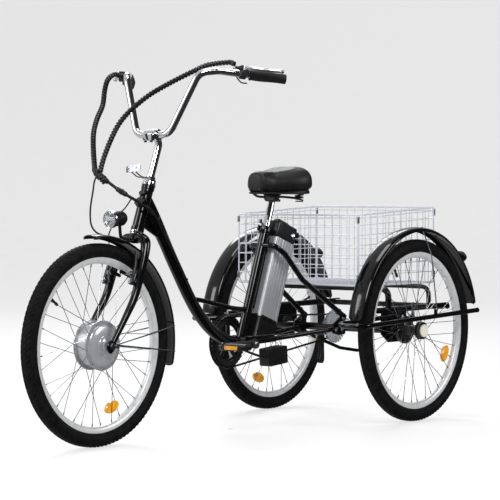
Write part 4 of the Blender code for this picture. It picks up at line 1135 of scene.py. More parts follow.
@dataclass
class Carriage:
    """The rear structure: rails, cross tubes, axle plates, basket hoops and the changer's guard."""

    rail_x: float = 0.235
    rail_z: float = 0.370
    cross_y: float = 0.533
    cross_z: float = 0.306
    back_y: float = 0.890
    rail_radius: float = 0.0100
    guard_x: float = 0.362

    def build(self) -> None:
        """Makes the carriage, its bolts, the outer rails and the axle bearings."""
        piece("rear_carriage_frame", self.tubes() + self.plates(), BLACK_ENAMEL, "frame", ["rear_carriage"])
        piece("carriage_bolts", self.bolts(), ZINC, "frame")
        for name, side in (("left", 1), ("right", -1)):
            rail = self.outer_rail()
            rail = rail if side > 0 else mirrored(rail)
            piece(name + "_outer_rail", rail, BLACK_ENAMEL, "frame", [name + "_fender_rail"])
            housing = self.bearing()
            housing = housing if side > 0 else mirrored(housing)
            piece(name + "_bearing_housing", housing, BLACK_STEEL, "frame", [name + "_axle_bearing"])
            stays = self.fender_stays()
            piece(name + "_fender_stays", stays if side > 0 else mirrored(stays), ZINC, "frame")

    def tubes(self) -> Shape:
        """Every tube of the carriage as a circle along its route.

        Returns:
            The tubes.
        """
        x, z = self.rail_x, self.rail_z
        routes = [
            (rounded([(-x, self.cross_y, self.cross_z), (x, self.cross_y, self.cross_z)], 0.01), 0.0125)
        ]
        routes.append((rounded([(-x, self.back_y, z), (x, self.back_y, z)], 0.01), self.rail_radius))
        for side in (-1, 1):
            rail = [(side * x, 0.500, z), (side * x, 0.915, z + 0.004)]
            routes.append((rounded(rail, 0.01), self.rail_radius))
        for y, radius in ((0.560, 0.0105), (0.800, 0.0080)):
            hoop = [(-x, y, z), (-x, y, 0.441), (x, y, 0.441), (x, y, z)]
            routes.append((rounded(hoop, 0.032, 14), radius))
        guard = [(-0.140, self.cross_y, self.cross_z), (-0.138, 0.640, 0.262), (-0.112, 0.760, 0.216)]
        guard += [(-0.100, 0.865, 0.200), (-0.100, 0.895, 0.240), (-0.100, self.back_y, z)]
        routes.append((rounded(guard, 0.035, 10), 0.0060))
        return union([sweep(LAYOUT.route(path), radius, 24) for path, radius in routes])

    def plates(self) -> Shape:
        """The axle plates under the rails, the lugs on the hoops and the caps in the rails' ends.

        Returns:
            The plates and caps.
        """
        shapes = []
        corners = [(0, 0.520, 0.290), (0, 0.560, 0.262), (0, 0.650, 0.262)]
        corners += [(0, 0.672, 0.300), (0, 0.660, 0.372), (0, 0.520, 0.372)]
        outline = LAYOUT.route(corners)[:, 1:]
        for side in (-1, 1):
            x = side * self.rail_x
            shapes.append(plate(outline, x - 0.003, x + 0.003, 0.0008).moved(ACROSS))
            for y in (0.4985, 0.9155):
                end = LAYOUT.route([(x, y, self.rail_z)])[0]
                cap = [(0, -0.0035), (0.0094, -0.0030), (0.0102, 0.0), (0.0094, 0.0030), (0, 0.0035)]
                shapes.append(lathe(cap, aimed(end, Y_AXIS), 24))
        for y in (0.560, 0.800):
            for x in (-0.16, 0.0, 0.16):
                origin = LAYOUT.route([(x, y, 0.4520)])[0]
                shapes.append(soft_box((0.030, 0.020, 0.0030), 0.004, 0.0008).moved(shift(*origin)))
        return union(shapes)

    def bolts(self) -> Shape:
        """Bolts on the axle plates, on the hoop lugs and on the outer rails' tabs.

        Returns:
            The bolts.
        """
        places = []
        for side in (-1, 1):
            for y, z in ((0.545, 0.345), (0.640, 0.345), (0.572, 0.272), (0.646, 0.285)):
                origin = LAYOUT.route([(side * (self.rail_x + 0.0031), y, z)])[0]
                places.append(aimed(origin, X_AXIS * side))
            for y in (0.300, 0.520):
                origin = LAYOUT.route([(side * 0.2560, y, 0.350)])[0]
                places.append(aimed(origin, Z_AXIS))
            tab = LAYOUT.route([(side * (self.guard_x + 0.0035), 0.655, 0.374)])[0]
            places.append(aimed(tab, X_AXIS * side))
        for y in (0.560, 0.800):
            for x in (-0.16, 0.0, 0.16):
                places.append(aimed(LAYOUT.route([(x, y, 0.4536)])[0], Z_AXIS))
        return hex_bolt(np.eye(4)).copies(places)

    def outer_rail(self) -> Shape:
        """The left outer rail: back along the inside of the wheel, round its front and along its outside.

        Returns:
            The rail.
        """
        route = [
            (0.2560, 0.560, 0.350), (0.2560, 0.262, 0.338), (0.2900, 0.228, 0.334), (0.3350, 0.228, 0.334)
        ]
        route += [(self.guard_x, 0.262, 0.335), (self.guard_x, 0.9105, 0.361)]
        rail = sweep(rounded(LAYOUT.route(route), 0.035, 12), 0.0080, 24)
        tab_place = shift(*LAYOUT.route([(self.guard_x, 0.655, 0.370)])[0]) @ turn("Y", pi / 2)
        tab = soft_box((0.036, 0.016, 0.0045), 0.006, 0.0008).moved(tab_place)
        end = LAYOUT.route([(self.guard_x, 0.9105, 0.361)])[0]
        cap = lathe(
            [(0, -0.004), (0.0086, -0.004), (0.0086, 0.0008), (0.0070, 0.0022), (0, 0.0026)],
            aimed(end, Y_AXIS), 24
        )
        return rail + tab + cap

    def bearing(self) -> Shape:
        """A flanged housing with four bolts, round the axle at the left plate.

        Returns:
            The bearing.
        """
        place = shift(*(LAYOUT.spot("rear_axle_spin") + X_AXIS * self.rail_x)) @ ACROSS
        flange = [
            (0.0110, -0.0055), (0.0300, -0.0055), (0.0315, -0.0045), (0.0315, 0.0040), (0.0240, 0.0050)
        ]
        flange += [(0.0215, 0.0110), (0.0195, 0.0122), (0.0110, 0.0122)]
        ears = [place @ shift(0.026 * cos(a), 0.026 * sin(a), 0.0042) for a in (0.5, 2.07, 3.64, 5.21)]
        return lathe(flange, place, 48, ring=True) + hex_bolt(np.eye(4), 0.0035, 0.003).copies(ears)

    def fender_stays(self) -> Shape:
        """A wire from the left fender's crown down to the tab on the outer rail.

        Returns:
            The stays.
        """
        foot = LAYOUT.route([(self.guard_x + 0.0035, 0.655, 0.380)])[0]
        wires = []
        for y, z in ((0.616, 0.6485),):
            top = LAYOUT.route([(0.3300, y, z)])[0]
            knee = LAYOUT.route([(0.3560, (y + 0.655) / 2, 0.560)])[0]
            wires.append(sweep(rounded([top, knee, foot], 0.05, 12), 0.0020, 10))
        return union(wires)


@dataclass
class Fender:
    """A crowned channel round part of a wheel, with rolled lips."""

    name: str
    node: str
    body: str
    centre: Array
    crown: float
    depth: float
    half_width: float
    start: float
    end: float
    thickness: float = 0.0016
    lip: float = 0.0022

    def build(self) -> None:
        """Makes the fender."""
        piece(self.name, self.shape(), BLACK_ENAMEL, self.body, [self.node], sharp=50)

    def section(self) -> Array:
        """Half an ellipse over the wheel, its lips rolled in, as (rise from the crown, x) points.

        Returns:
            The outline's points.
        """
        angle = np.linspace(-pi / 2, pi / 2, 21)
        outer = np.column_stack([-self.depth * (1 - np.cos(angle) ** 0.8), self.half_width * np.sin(angle)])
        scale = 1 - 2 * self.thickness / self.half_width
        inner = np.column_stack([outer[::-1, 0] * 0.97 - self.thickness, outer[::-1, 1] * scale])
        roll = [
            (-self.depth - self.lip, self.half_width * 0.985),
            (-self.depth - self.lip, self.half_width * 0.93)
        ]
        other = [(rise, -x) for rise, x in reversed(roll)]
        return np.vstack([outer, roll, inner, other])

    def shape(self) -> Shape:
        """The section turned about the axle from start to end, in degrees from +Y, narrowing to round tips.

        Returns:
            The fender's shell.
        """
        section = self.section()
        steps = 120
        angle = np.radians(np.linspace(self.start, self.end, steps + 1))
        arc = np.abs(angle - angle[0]) * self.crown
        near = np.minimum(arc, arc[-1] - arc)
        tip = np.clip(near / 0.012, 0, 1)
        narrow = 0.72 + 0.28 * np.sqrt(1 - (1 - tip) ** 2)
        radius = self.crown + section[None, :, 0]
        x = section[None, :, 1] * narrow[:, None]
        y = radius * np.cos(angle)[:, None]
        z = radius * np.sin(angle)[:, None]
        rows = np.stack([x, y + 0 * x, z + 0 * x], -1) + self.centre
        return skin(rows)


@dataclass
class TailLight:
    """A round lamp on a rubber stalk at the back of a rear fender."""

    name: str
    node: str
    centre: Array
    reach: float = 0.3455
    angle: float = 41.0

    def build(self) -> None:
        """Makes the lamp's housing and its lens."""
        out = np.array([0.0, cos(radians(self.angle)), sin(radians(self.angle))])
        place = aimed(self.centre + out * self.reach, out)
        housing = [
            (0, 0), (0.0125, 0), (0.0130, 0.0020), (0.0095, 0.0045), (0.0090, 0.0110), (0.0130, 0.0150)
        ]
        housing += [
            (0.0195, 0.0170), (0.0208, 0.0195), (0.0208, 0.0270), (0.0196, 0.0285), (0.0186, 0.0280)
        ]
        housing += [(0, 0.0280)]
        piece(self.name + "_housing", lathe(housing, place, 48), PLASTIC, "frame", [self.node])
        ridge = np.linspace(0, 1, 30)
        dome = 0.0277 + 0.0098 * np.sqrt(1 - ridge[::-1] ** 2) + 0.0003 * np.cos(ridge[::-1] * 40)
        lens = [(0, 0.0275), (0.0184, 0.0275)] + list(zip(0.0184 * ridge[::-1], dome))
        piece(self.name + "_lens", lathe(lens, place, 48), RED_LENS, "frame")


# Basket


@dataclass
class Basket:
    """An open wire basket: five lattices of crossed wires with a thicker wire round each edge."""

    front: float = 0.363
    back: float = 0.805
    half_width: float = 0.253
    bottom: float = 0.456
    top: float = 0.702
    wire: float = 0.00135
    rim_wire: float = 0.0021
    pitch: float = 0.0335
    slant: float = 0.060

    def build(self) -> None:
        """Makes the five lattices, the top rim and the corner clips."""
        width, length, height = 2 * self.half_width, self.back - self.front, self.top - self.bottom
        centre = LAYOUT.route([(0, (self.front + self.back) / 2, (self.top + self.bottom) / 2)])[0]
        down = shift(*centre) @ shift(z=-height / 2)
        panels = {
            "basket_floor": (width, length, down),
            "basket_front": (width, height, shift(*centre) @ shift(y=-length / 2) @ turn("X", pi / 2)),
            "basket_back": (width, height, shift(*centre) @ shift(y=length / 2) @ turn("X", pi / 2)),
            "basket_left": (
                length, height, shift(*centre) @ shift(x=self.half_width) @ turn("Z", pi / 2)
                @ turn("X", pi / 2)
            ),
            "basket_right": (
                length, height, shift(*centre) @ shift(x=-self.half_width) @ turn("Z", pi / 2)
                @ turn("X", pi / 2)
            ),
        }
        for node, (across, up, place) in panels.items():
            lattice = self.lattice(across - 0.006, up - 0.004).moved(place)
            piece(node + "_wires", self.slanted(lattice, centre), WHITE_WIRE, "frame", [node])
        piece("basket_rim", self.slanted(self.rim(centre), centre), WHITE_WIRE, "frame")
        piece("basket_clips", self.slanted(self.clips(centre), centre), ZINC, "frame")

    def slanted(self, shape: Shape, centre: Array) -> Shape:
        """The shape with its mouth raised towards the rear: the rise grows with height and with Y.

        Args:
            shape: the shape to slant.
            centre: the middle of the basket.

        Returns:
            The slanted shape.
        """
        points = shape.points.copy()
        height = (points[:, 2] - self.bottom) / (self.top - self.bottom)
        points[:, 2] += self.slant * height * (points[:, 1] - centre[1])
        return Shape(points, shape.loops, shape.sizes)

    def lattice(self, width: float, height: float) -> Shape:
        """Upright wires in front of level ones, evenly pitched, inside a thicker frame of wire.

        Args:
            width: the panel's width.
            height: the panel's height.

        Returns:
            The wires.
        """
        columns = max(2, round(width / self.pitch))
        rows = max(2, round(height / self.pitch))
        x = np.linspace(-width / 2, width / 2, columns + 1)[1:-1]
        y = np.linspace(-height / 2, height / 2, rows + 1)[1:-1]
        offset = self.wire * 0.85
        up = rods(
            np.column_stack([x, np.full(len(x), -height / 2), np.full(len(x), offset)]),
            np.column_stack([x, np.full(len(x), height / 2), np.full(len(x), offset)]),
            self.wire,
            8,
        )
        level = rods(
            np.column_stack([np.full(len(y), -width / 2), y, np.full(len(y), -offset)]),
            np.column_stack([np.full(len(y), width / 2), y, np.full(len(y), -offset)]),
            self.wire,
            8,
        )
        ring = soft_rectangle(width, height, 0.008)
        edge = sweep(np.column_stack([ring, 0 * ring[:, 0]]), self.rim_wire, 10, loop=True)
        return up + level + edge

    def rim(self, centre: Array) -> Shape:
        """The heavy wire round the mouth and a second one below it.

        Args:
            centre: the middle of the basket.

        Returns:
            The rim.
        """
        ring = soft_rectangle(2 * self.half_width, self.back - self.front, 0.012)
        path = np.column_stack([ring, 0 * ring[:, 0]]) + centre + Z_AXIS * (self.top - self.bottom) / 2
        wire = sweep(path, 0.0026, 12, loop=True)
        return wire + sweep(path - Z_AXIS * 0.012, 0.0017, 10, loop=True)

    def clips(self, centre: Array) -> Shape:
        """Plated clips that wrap the upright corner edges near the mouth and near the floor.

        Args:
            centre: the middle of the basket.

        Returns:
            The clips.
        """
        clip = soft_box((0.0085, 0.0085, 0.022), 0.0035, 0.0012)
        places = []
        for x in (-1, 1):
            for y in (-1, 1):
                for z in (0.106, -0.095):
                    corner = centre + np.array(
                        [x * (self.half_width - 0.001), y * (self.back - self.front) / 2, z]
                    )
                    places.append(shift(*corner))
        return clip.copies(places)


# Drive


@dataclass
class Drive:
    """Cranks, chainring, pedals, chain, freewheel, gear changer, rear axle and band brake."""

    chain_x: float = -0.047
    ring_radius: float = 0.0775
    sprocket_radius: float = 0.0345
    ring_teeth: int = 38
    link_count: int = 106
    arm_length: float = 0.165

    @property
    def crank(self) -> Array:
        """The crank axis: local Z towards the rider's left, local X towards the rear."""
        return shift(*LAYOUT.spot("crank_spin")) @ ACROSS

    @property
    def axle(self) -> Array:
        """The rear axle: local Z towards the rider's left, local X towards the rear."""
        return shift(*LAYOUT.spot("rear_axle_spin")) @ ACROSS

    def build(self) -> None:
        """Makes every piece of the drive."""
        piece("chainring_and_arm", self.ring() + self.arm(-1), BLACK_STEEL, "crankset", ["chainset"])
        piece("left_crank_arm", self.arm(1), BLACK_STEEL, "crankset", ["left_crank"])
        piece("crank_bolts", self.crank_bolts(), ZINC, "crankset")
        piece("drive_chain_links", self.chain(), CHAIN_STEEL, "frame", ["drive_chain"])
        for name, side in (("left", 1), ("right", -1)):
            self.pedal(name, side)
        piece("freewheel_sprockets", self.freewheel(), ZINC, "driven_axle", ["freewheel"])
        piece("spoke_guard_disc", self.guard_disc(), CLEAR_LENS, "driven_axle")
        shaft = [
            (0, -0.348), (0.0080, -0.348), (0.0085, -0.346), (0.0085, 0.346), (0.0080, 0.348), (0, 0.348)
        ]
        drum = [(0.0085, 0.2555), (0.0300, 0.2555), (0.0315, 0.2620), (0.0402, 0.2625), (0.0402, 0.2745)]
        drum += [(0.0330, 0.2750), (0.0300, 0.2735), (0.0085, 0.2735)]
        turned = lathe(shaft, self.axle, 28) + lathe(drum, self.axle, 56, ring=True)
        piece("rear_axle_and_drum", turned, BLACK_STEEL, "driven_axle", ["rear_axle"])
        self.changer()
        self.band_brake()

    def toothed(self, radius: float, teeth: int, x: float, thick: float, bore: float) -> Shape:
        """A sprocket: radius + a clipped cosine of the tooth count, with a round bore.

        Args:
            radius: its radius.
            teeth: how many teeth.
            x: the middle of its thickness along X.
            thick: its thickness.
            bore: the radius of its hole.

        Returns:
            The toothed wheel.
        """
        angle = np.linspace(0, 2 * pi, teeth * 8, endpoint=False)
        tooth = np.clip(0.5 + 0.9 * np.cos(angle * teeth), 0, 1) ** 1.3
        outer = radius - 0.0032 + 0.0062 * tooth
        rows = []
        for reach, height in (
            (bore, -thick / 2), (outer, -thick / 2), (outer, thick / 2), (bore, thick / 2)
        ):
            size = np.broadcast_to(reach, angle.shape)
            taper = np.where(size > radius, thick * 0.22, 0.0) * (-np.sign(height))
            rows.append(np.column_stack([size * np.cos(angle), size * np.sin(angle), x + height + taper]))
        return skin(np.stack(rows), wrap_rows=True)

    def ring(self) -> Shape:
        """The toothed ring with its five-armed spider and the guard disc outside it.

        Returns:
            The ring.
        """
        ring = self.toothed(self.ring_radius + 0.0022, self.ring_teeth, self.chain_x, 0.0032, 0.0610)
        guard = [
            (0.0560, -0.0568), (0.0880, -0.0568), (0.0890, -0.0556), (0.0880, -0.0544), (0.0560, -0.0544)
        ]
        parts = [ring, lathe(guard, None, 96, ring=True)]
        hub = [
            (0.0090, -0.0425), (0.0175, -0.0425), (0.0190, -0.0440), (0.0190, -0.0560), (0.0160, -0.0600)
        ]
        parts.append(lathe(hub + [(0.0160, -0.0725), (0.0090, -0.0730)], None, 40, ring=True))
        for step in range(5):
            angle = 2 * pi * step / 5 + 0.3
            outline = np.array(
                [[0.012, -0.0085], [0.060, -0.0062], [0.0665, 0.0], [0.060, 0.0062], [0.012, 0.0085]]
            )
            blade = catmull(outline, 20, loop=True)
            parts.append(plate(blade, -0.0530, -0.0485, 0.0012).moved(turn("Z", angle)))
            bolt = lathe([(0, -0.0575), (0.0052, -0.0575), (0.0056, -0.0440), (0, -0.0440)], None, 14)
            parts.append(bolt.moved(turn("Z", angle) @ shift(0.0635)))
        return union(parts).moved(self.crank)

    def arm(self, side: int) -> Shape:
        """A forged arm: an oval section that narrows from the axle's boss to the pedal's boss.

        Args:
            side: 1 for the left, -1 for the right.

        Returns:
            The crank arm.
        """
        t = np.linspace(0, 1, 40)
        start_x, end_x = (0.0585, 0.0640) if side > 0 else (-0.0655, -0.0640)
        reach = t * self.arm_length * -side
        path = np.column_stack([start_x + (end_x - start_x) * t, reach, 0 * t])
        swell = np.interp(
            t, [0, 0.06, 0.16, 0.85, 0.94, 1.0], [0.0150, 0.0146, 0.0118, 0.0098, 0.0118, 0.0122]
        )
        section = circle(28)
        section = np.sign(section) * np.abs(section) ** 0.75
        rows = []
        for point, size in zip(path, swell):
            ring = np.zeros((28, 3))
            ring[:, 0] = point[0] + section[:, 0] * 0.0058
            ring[:, 1] = point[1]
            ring[:, 2] = section[:, 1] * size
            rows.append(ring)
        beam = skin(np.stack(rows)).moved(shift(*LAYOUT.spot("crank_spin")))
        middle = 0.0635 * side
        boss = [
            (0, middle - 0.0068), (0.0152, middle - 0.0068), (0.0162, middle), (0.0152, middle + 0.0062),
            (0, middle + 0.0062)
        ]
        eye = [
            (0, middle - 0.0062), (0.0120, middle - 0.0062), (0.0128, middle), (0.0120, middle + 0.0062),
            (0, middle + 0.0062)
        ]
        if side > 0:
            spindle = [(0, -0.0400), (0.0085, -0.0400), (0.0085, 0.0660), (0, 0.0660)]
            return beam + lathe(boss, self.crank, 40) + lathe(
                eye, self.crank @ shift(-self.arm_length), 32
            ) + lathe(spindle, self.crank, 28)
        return beam + lathe(boss, self.crank, 40) + lathe(eye, self.crank @ shift(self.arm_length), 32)

    def crank_bolts(self) -> Shape:
        """The bolt in each arm's boss.

        Returns:
            The bolts.
        """
        left = self.crank @ shift(z=0.0690)
        right = self.crank @ shift(z=-0.0690) @ turn("X", pi)
        return hex_bolt(left, 0.0066, 0.0035) + hex_bolt(right, 0.0060, 0.0035)

    def chain(self) -> Shape:
        """Links end to end round ring and sprocket: wide and narrow plates by turns, with a pin at each end.

        Returns:
            The links.
        """
        points = self.chain_path()
        after = np.roll(points, -1, 0)
        along = after - points
        lengths = np.linalg.norm(along, axis=1)
        lower = [[-0.0085, -0.0030], [0, -0.0024], [0.0085, -0.0030], [0.0100, 0.0]]
        outline = np.array(lower + [[0.0085, 0.0030], [0, 0.0024], [-0.0085, 0.0030], [-0.0100, 0.0]])
        outline[:, 0] *= lengths.mean() / 0.0170 * 0.93
        pair = union([plate(outline, x - 0.0005, x + 0.0005, 0.0002) for x in (-0.0034, 0.0034)])
        close = union([plate(outline, x - 0.0005, x + 0.0005, 0.0002) for x in (-0.0023, 0.0023)])
        pin = lathe([(0, -0.0040), (0.0024, -0.0040), (0.0024, 0.0040), (0, 0.0040)], None, 8)
        half = shift(-lengths.mean() / 2)
        places = [
            frame_at((points[i] + after[i]) / 2, along[i], X_AXIS) for i in range(len(points))
        ]
        wide = (pair + pin.moved(half)).copies(places[::2])
        return wide + (close + pin.moved(half)).copies(places[1::2])

    def chain_path(self) -> Array:
        """Evenly spaced points round the loop of two arcs and the two straight runs that touch them both.

        Returns:
            The closed path.
        """
        front, back = LAYOUT.spot("crank_spin"), LAYOUT.spot("rear_axle_spin")
        big, small = self.ring_radius + 0.0054, self.sprocket_radius + 0.0054
        reach = back - front
        gap = hypot(reach[1], reach[2])
        tilt = atan2(reach[2], reach[1])
        open_ = np.arccos((big - small) / gap)
        ring = np.linspace(tilt + open_, tilt + 2 * pi - open_, 200)
        cog = np.linspace(tilt - open_, tilt + open_, 80)
        loop = [(front[1] + big * np.cos(ring), front[2] + big * np.sin(ring))]
        loop.append((back[1] + small * np.cos(cog), back[2] + small * np.sin(cog)))
        y = np.concatenate([part[0] for part in loop])
        z = np.concatenate([part[1] for part in loop])
        path = np.column_stack([np.full(len(y), self.chain_x), y, z])
        closed = np.vstack([path, path[:1]])
        run = np.concatenate([[0], np.cumsum(np.linalg.norm(np.diff(closed, axis=0), axis=1))])
        wanted = np.linspace(0, run[-1], self.link_count, endpoint=False)
        return np.column_stack([np.interp(wanted, run, closed[:, k]) for k in range(3)])

    def pedal(self, name: str, side: int) -> None:
        """Makes a pedal: a soft frame with ribbed treads, its spindle, and a lens on each long side.

        Args:
            name: the first word of its pieces' names.
            side: 1 for the left, -1 for the right.
        """
        spot = LAYOUT.spot(name + "_pedal_spin") + X_AXIS * side * 0.123
        place = shift(*spot)
        frame_ = soft_box((0.080, 0.062, 0.013), 0.010, 0.003, 5).moved(place)
        treads = [
            soft_box((0.070, 0.0055, 0.0190), 0.002, 0.0018, 3).moved(place @ shift(0, y, 0))
            for y in (-0.026, -0.013, 0.013, 0.026)
        ]
        core = lathe([(0, -0.040), (0.0110, -0.040), (0.0110, 0.038), (0, 0.040)], place @ ACROSS, 24)
        axle = lathe(
            [(0, -0.0525), (0.0065, -0.0525), (0.0065, -0.030), (0, -0.030)], place
            @ (ACROSS if side > 0 else turn("Z", pi) @ ACROSS), 20
        )
        body = name + "_pedal_body"
        piece(name + "_pedal_frame", frame_ + union(treads) + core + axle, PLASTIC, body, [name + "_pedal"])
        lens = soft_box((0.052, 0.0030, 0.0125), 0.001, 0.0008, 3)
        lenses = lens.copies([place @ shift(0, y, 0) for y in (-0.0302, 0.0302)])
        piece(name + "_pedal_reflectors", lenses, AMBER_LENS, body)

    def freewheel(self) -> Shape:
        """Six sprockets that grow towards the wheel, the smallest outermost, on a turned body.

        Returns:
            The sprockets.
        """
        teeth = (17, 20, 22, 24, 26, 27)
        xs = np.linspace(self.chain_x, -0.0260, 6)
        sprockets = [
            self.toothed(0.00202 * count + 0.0006, count, x, 0.0019, 0.0240) for count, x in zip(teeth, xs)
        ]
        body = [
            (0.0086, -0.0620), (0.0215, -0.0620), (0.0245, -0.0600), (0.0252, -0.0240), (0.0086, -0.0240)
        ]
        return (union(sprockets) + lathe(body, None, 40, ring=True)).moved(self.axle)

    def guard_disc(self) -> Shape:
        """A thin clear dished disc between the largest sprocket and the axle's collar.

        Returns:
            The disc.
        """
        disc = [
            (0.0088, -0.0225), (0.0300, -0.0225), (0.0560, -0.0205), (0.0570, -0.0192), (0.0556, -0.0190)
        ]
        disc += [(0.0300, -0.0208), (0.0088, -0.0208)]
        return lathe(disc, self.axle, 72, ring=True)

    def changer(self) -> None:
        """Makes the gear changer: body, spring links, cage plates, two toothed rollers and a barrel."""
        place = shift(*LAYOUT.route([(-0.068, 0.585, 0.262)])[0])
        parts = [soft_box((0.016, 0.038, 0.022), 0.006, 0.003).moved(place)]
        parts.append(
            soft_box((0.0040, 0.030, 0.010), 0.003, 0.001).moved(
                place @ shift(0.0, 0.010, -0.004) @ turn("X", -0.4)
            )
        )
        cage = catmull(
            [
                (-0.010, -0.002), (-0.004, -0.044), (-0.013, -0.078), (0.0, -0.088), (0.013, -0.078),
                (0.013, -0.040), (0.009, 0.000)
            ],
            40, loop=True
        )
        for x in (-0.0052, 0.0052):
            parts.append(
                plate(cage + np.array([0.002, 0.0]), x - 0.0008, x + 0.0008, 0.0004).moved(place @ ACROSS)
            )
        spots = ((0.004, -0.022, 0.0120), (0.004, -0.070, 0.0135))
        for y, z, radius in spots:
            wheel = self.toothed(radius, 11, 0.0, 0.0022, 0.0030)
            parts.append(wheel.moved(place @ shift(0, y, z) @ ACROSS))
            pin = lathe(
                [(0, -0.0072), (0.0038, -0.0072), (0.0038, 0.0072), (0, 0.0072)], place @ shift(0, y, z)
                @ ACROSS, 12
            )
            parts.append(pin)
        piece("changer_body_and_cage", union(parts), BLACK_STEEL, "gear_changer", ["derailleur"])
        barrel = [
            (0, 0), (0.0040, 0), (0.0043, 0.002), (0.0040, 0.0035), (0.0043, 0.005), (0.0040, 0.0065),
            (0.0026, 0.008), (0, 0.010)
        ]
        aim = aimed(place[:3, 3] + np.array([0, -0.014, 0.004]), (0, -1.0, 0.1))
        piece("changer_barrel", lathe(barrel, aim, 20), GOLD_ALLOY, "gear_changer")

    def band_brake(self) -> None:
        """Makes the band round the drum, its anchor and the pull arm on its pin."""
        band = [
            (0.0425, 0.2625), (0.0462, 0.2625), (0.0465, 0.2635), (0.0465, 0.2735), (0.0462, 0.2745),
            (0.0425, 0.2745)
        ]
        anchor_at = LAYOUT.route([(0.2565, 0.549, 0.3035)])[0]
        anchor = soft_box((0.0355, 0.034, 0.022), 0.004, 0.002).moved(shift(*anchor_at))
        piece(
            "brake_band_ring", lathe(band, self.axle, 64, ring=True) + anchor, BLACK_ENAMEL, "frame",
            ["rear_brake_band"]
        )
        pivot = LAYOUT.spot("band_brake_pull")
        lever = soft_box((0.0065, 0.010, 0.055), 0.003, 0.002).moved(shift(*pivot) @ shift(z=0.022))
        pin = lathe(
            [(0, -0.0070), (0.0052, -0.0070), (0.0052, 0.0070), (0, 0.0070)], shift(*pivot) @ ACROSS, 18
        )
        piece("band_brake_lever", lever + pin, ZINC, "band_brake_arm", ["rear_brake_arm"])


@dataclass
class RearHub:
    """A turned rear hub with its end cap."""

    name: str
    body: str
    centre: Array
    side: int

    def build(self) -> None:
        """Makes the hub shell, its bolted collar and a cream cap on its outer end."""
        place = shift(*self.centre) @ (ACROSS if self.side > 0 else turn("Z", pi) @ ACROSS)
        shell = [
            (0.0106, -0.0310), (0.0290, -0.0310), (0.0302, -0.0302), (0.0302, -0.0284), (0.0285, -0.0276)
        ]
        shell += [
            (0.0190, -0.0240), (0.0172, -0.0160), (0.0172, 0.0120), (0.0200, 0.0172), (0.0290, 0.0182)
        ]
        shell += [
            (0.0302, 0.0190), (0.0302, 0.0206), (0.0285, 0.0214), (0.0185, 0.0236), (0.0170, 0.0268),
            (0.0106, 0.0270)
        ]
        piece(self.name + "_hub_shell", lathe(shell, place, 56, ring=True), BLACK_STEEL, self.body)
        ring = [
            (0.0106, 0.0262), (0.0250, 0.0262), (0.0285, 0.0270), (0.0290, 0.0290), (0.0290, 0.0330),
            (0.0280, 0.0345)
        ]
        ring += [(0.0106, 0.0345)]
        lugs = [place @ turn("Z", step * pi / 3) @ shift(0.0252, 0, 0.0343) for step in range(6)]
        collar = lathe(ring, place, 48, ring=True) + socket_bolt(np.eye(4), 0.0026, 0.0018).copies(lugs)
        piece(self.name + "_hub_collar", collar, BLACK_STEEL, self.body)
        cap = [
            (0, 0.0335), (0.0205, 0.0335), (0.0212, 0.0345), (0.0212, 0.0395), (0.0200, 0.0408), (0, 0.0412)
        ]
        piece(self.name + "_hub_cap", lathe(cap, place, 44), CREAM, self.body)


@dataclass
class HubMotor:
    """The front hub motor: a cast case between two bolted covers."""

    centre: Array
    bolt_circle: float = 0.0560
    bolt_count: int = 9

    def build(self) -> None:
        """Makes the case with its spoke heads, both covers, and the bolts of the right one."""
        place = shift(*self.centre) @ ACROSS
        half = [
            (0.0640, 0.0258), (0.0738, 0.0256), (0.0748, 0.0248), (0.0748, 0.0214), (0.0738, 0.0206),
            (0.0680, 0.0190)
        ]
        half += [(0.0655, 0.0170), (0.0655, 0.0)]
        profile = half + [(radius, -x) for radius, x in reversed(half[:-1])]
        case = lathe([(0, 0.0258)] + profile + [(0, -0.0258)], place, 96)
        dome = [
            (0, 0.0450), (0.0148, 0.0450), (0.0152, 0.0440), (0.0152, 0.0405), (0.0170, 0.0392),
            (0.0285, 0.0385)
        ]
        dome += [(0.0300, 0.0372), (0.0306, 0.0352), (0.0420, 0.0342), (0.0540, 0.0318), (0.0600, 0.0292)]
        dome += [(0.0622, 0.0272), (0.0628, 0.0254), (0, 0.0254)]
        cover = lathe(dome, place, 88) + lathe(dome, place @ turn("X", pi), 88)
        piece("motor_covers", cover, MOTOR_COVER, "front_wheel")
        holes = []
        for step in range(36):
            angle = 2 * pi * (step + 0.25) / 36
            x = 0.0256 if step % 2 else -0.0256
            holes.append(
                place @ turn("Z", angle) @ shift(0.0708, 0, x) @ (np.eye(4) if x > 0 else turn("X", pi))
            )
        rivet = lathe(
            [(0, -0.0004), (0.0016, -0.0004), (0.0014, 0.0004), (0, 0.0006)], None, 8
        ).copies(holes)
        piece("motor_case", case + rivet, MOTOR_CASE, "front_wheel", ["hub_motor"])
        places = []
        for step in range(self.bolt_count):
            angle = 2 * pi * step / self.bolt_count
            places.append(place @ turn("X", pi) @ turn("Z", angle) @ shift(self.bolt_circle, 0, 0.0290))
        piece(
            "motor_bolts", socket_bolt(np.eye(4), 0.0030, 0.0028).copies(places), BLACK_STEEL, "front_wheel"
        )


# Steering


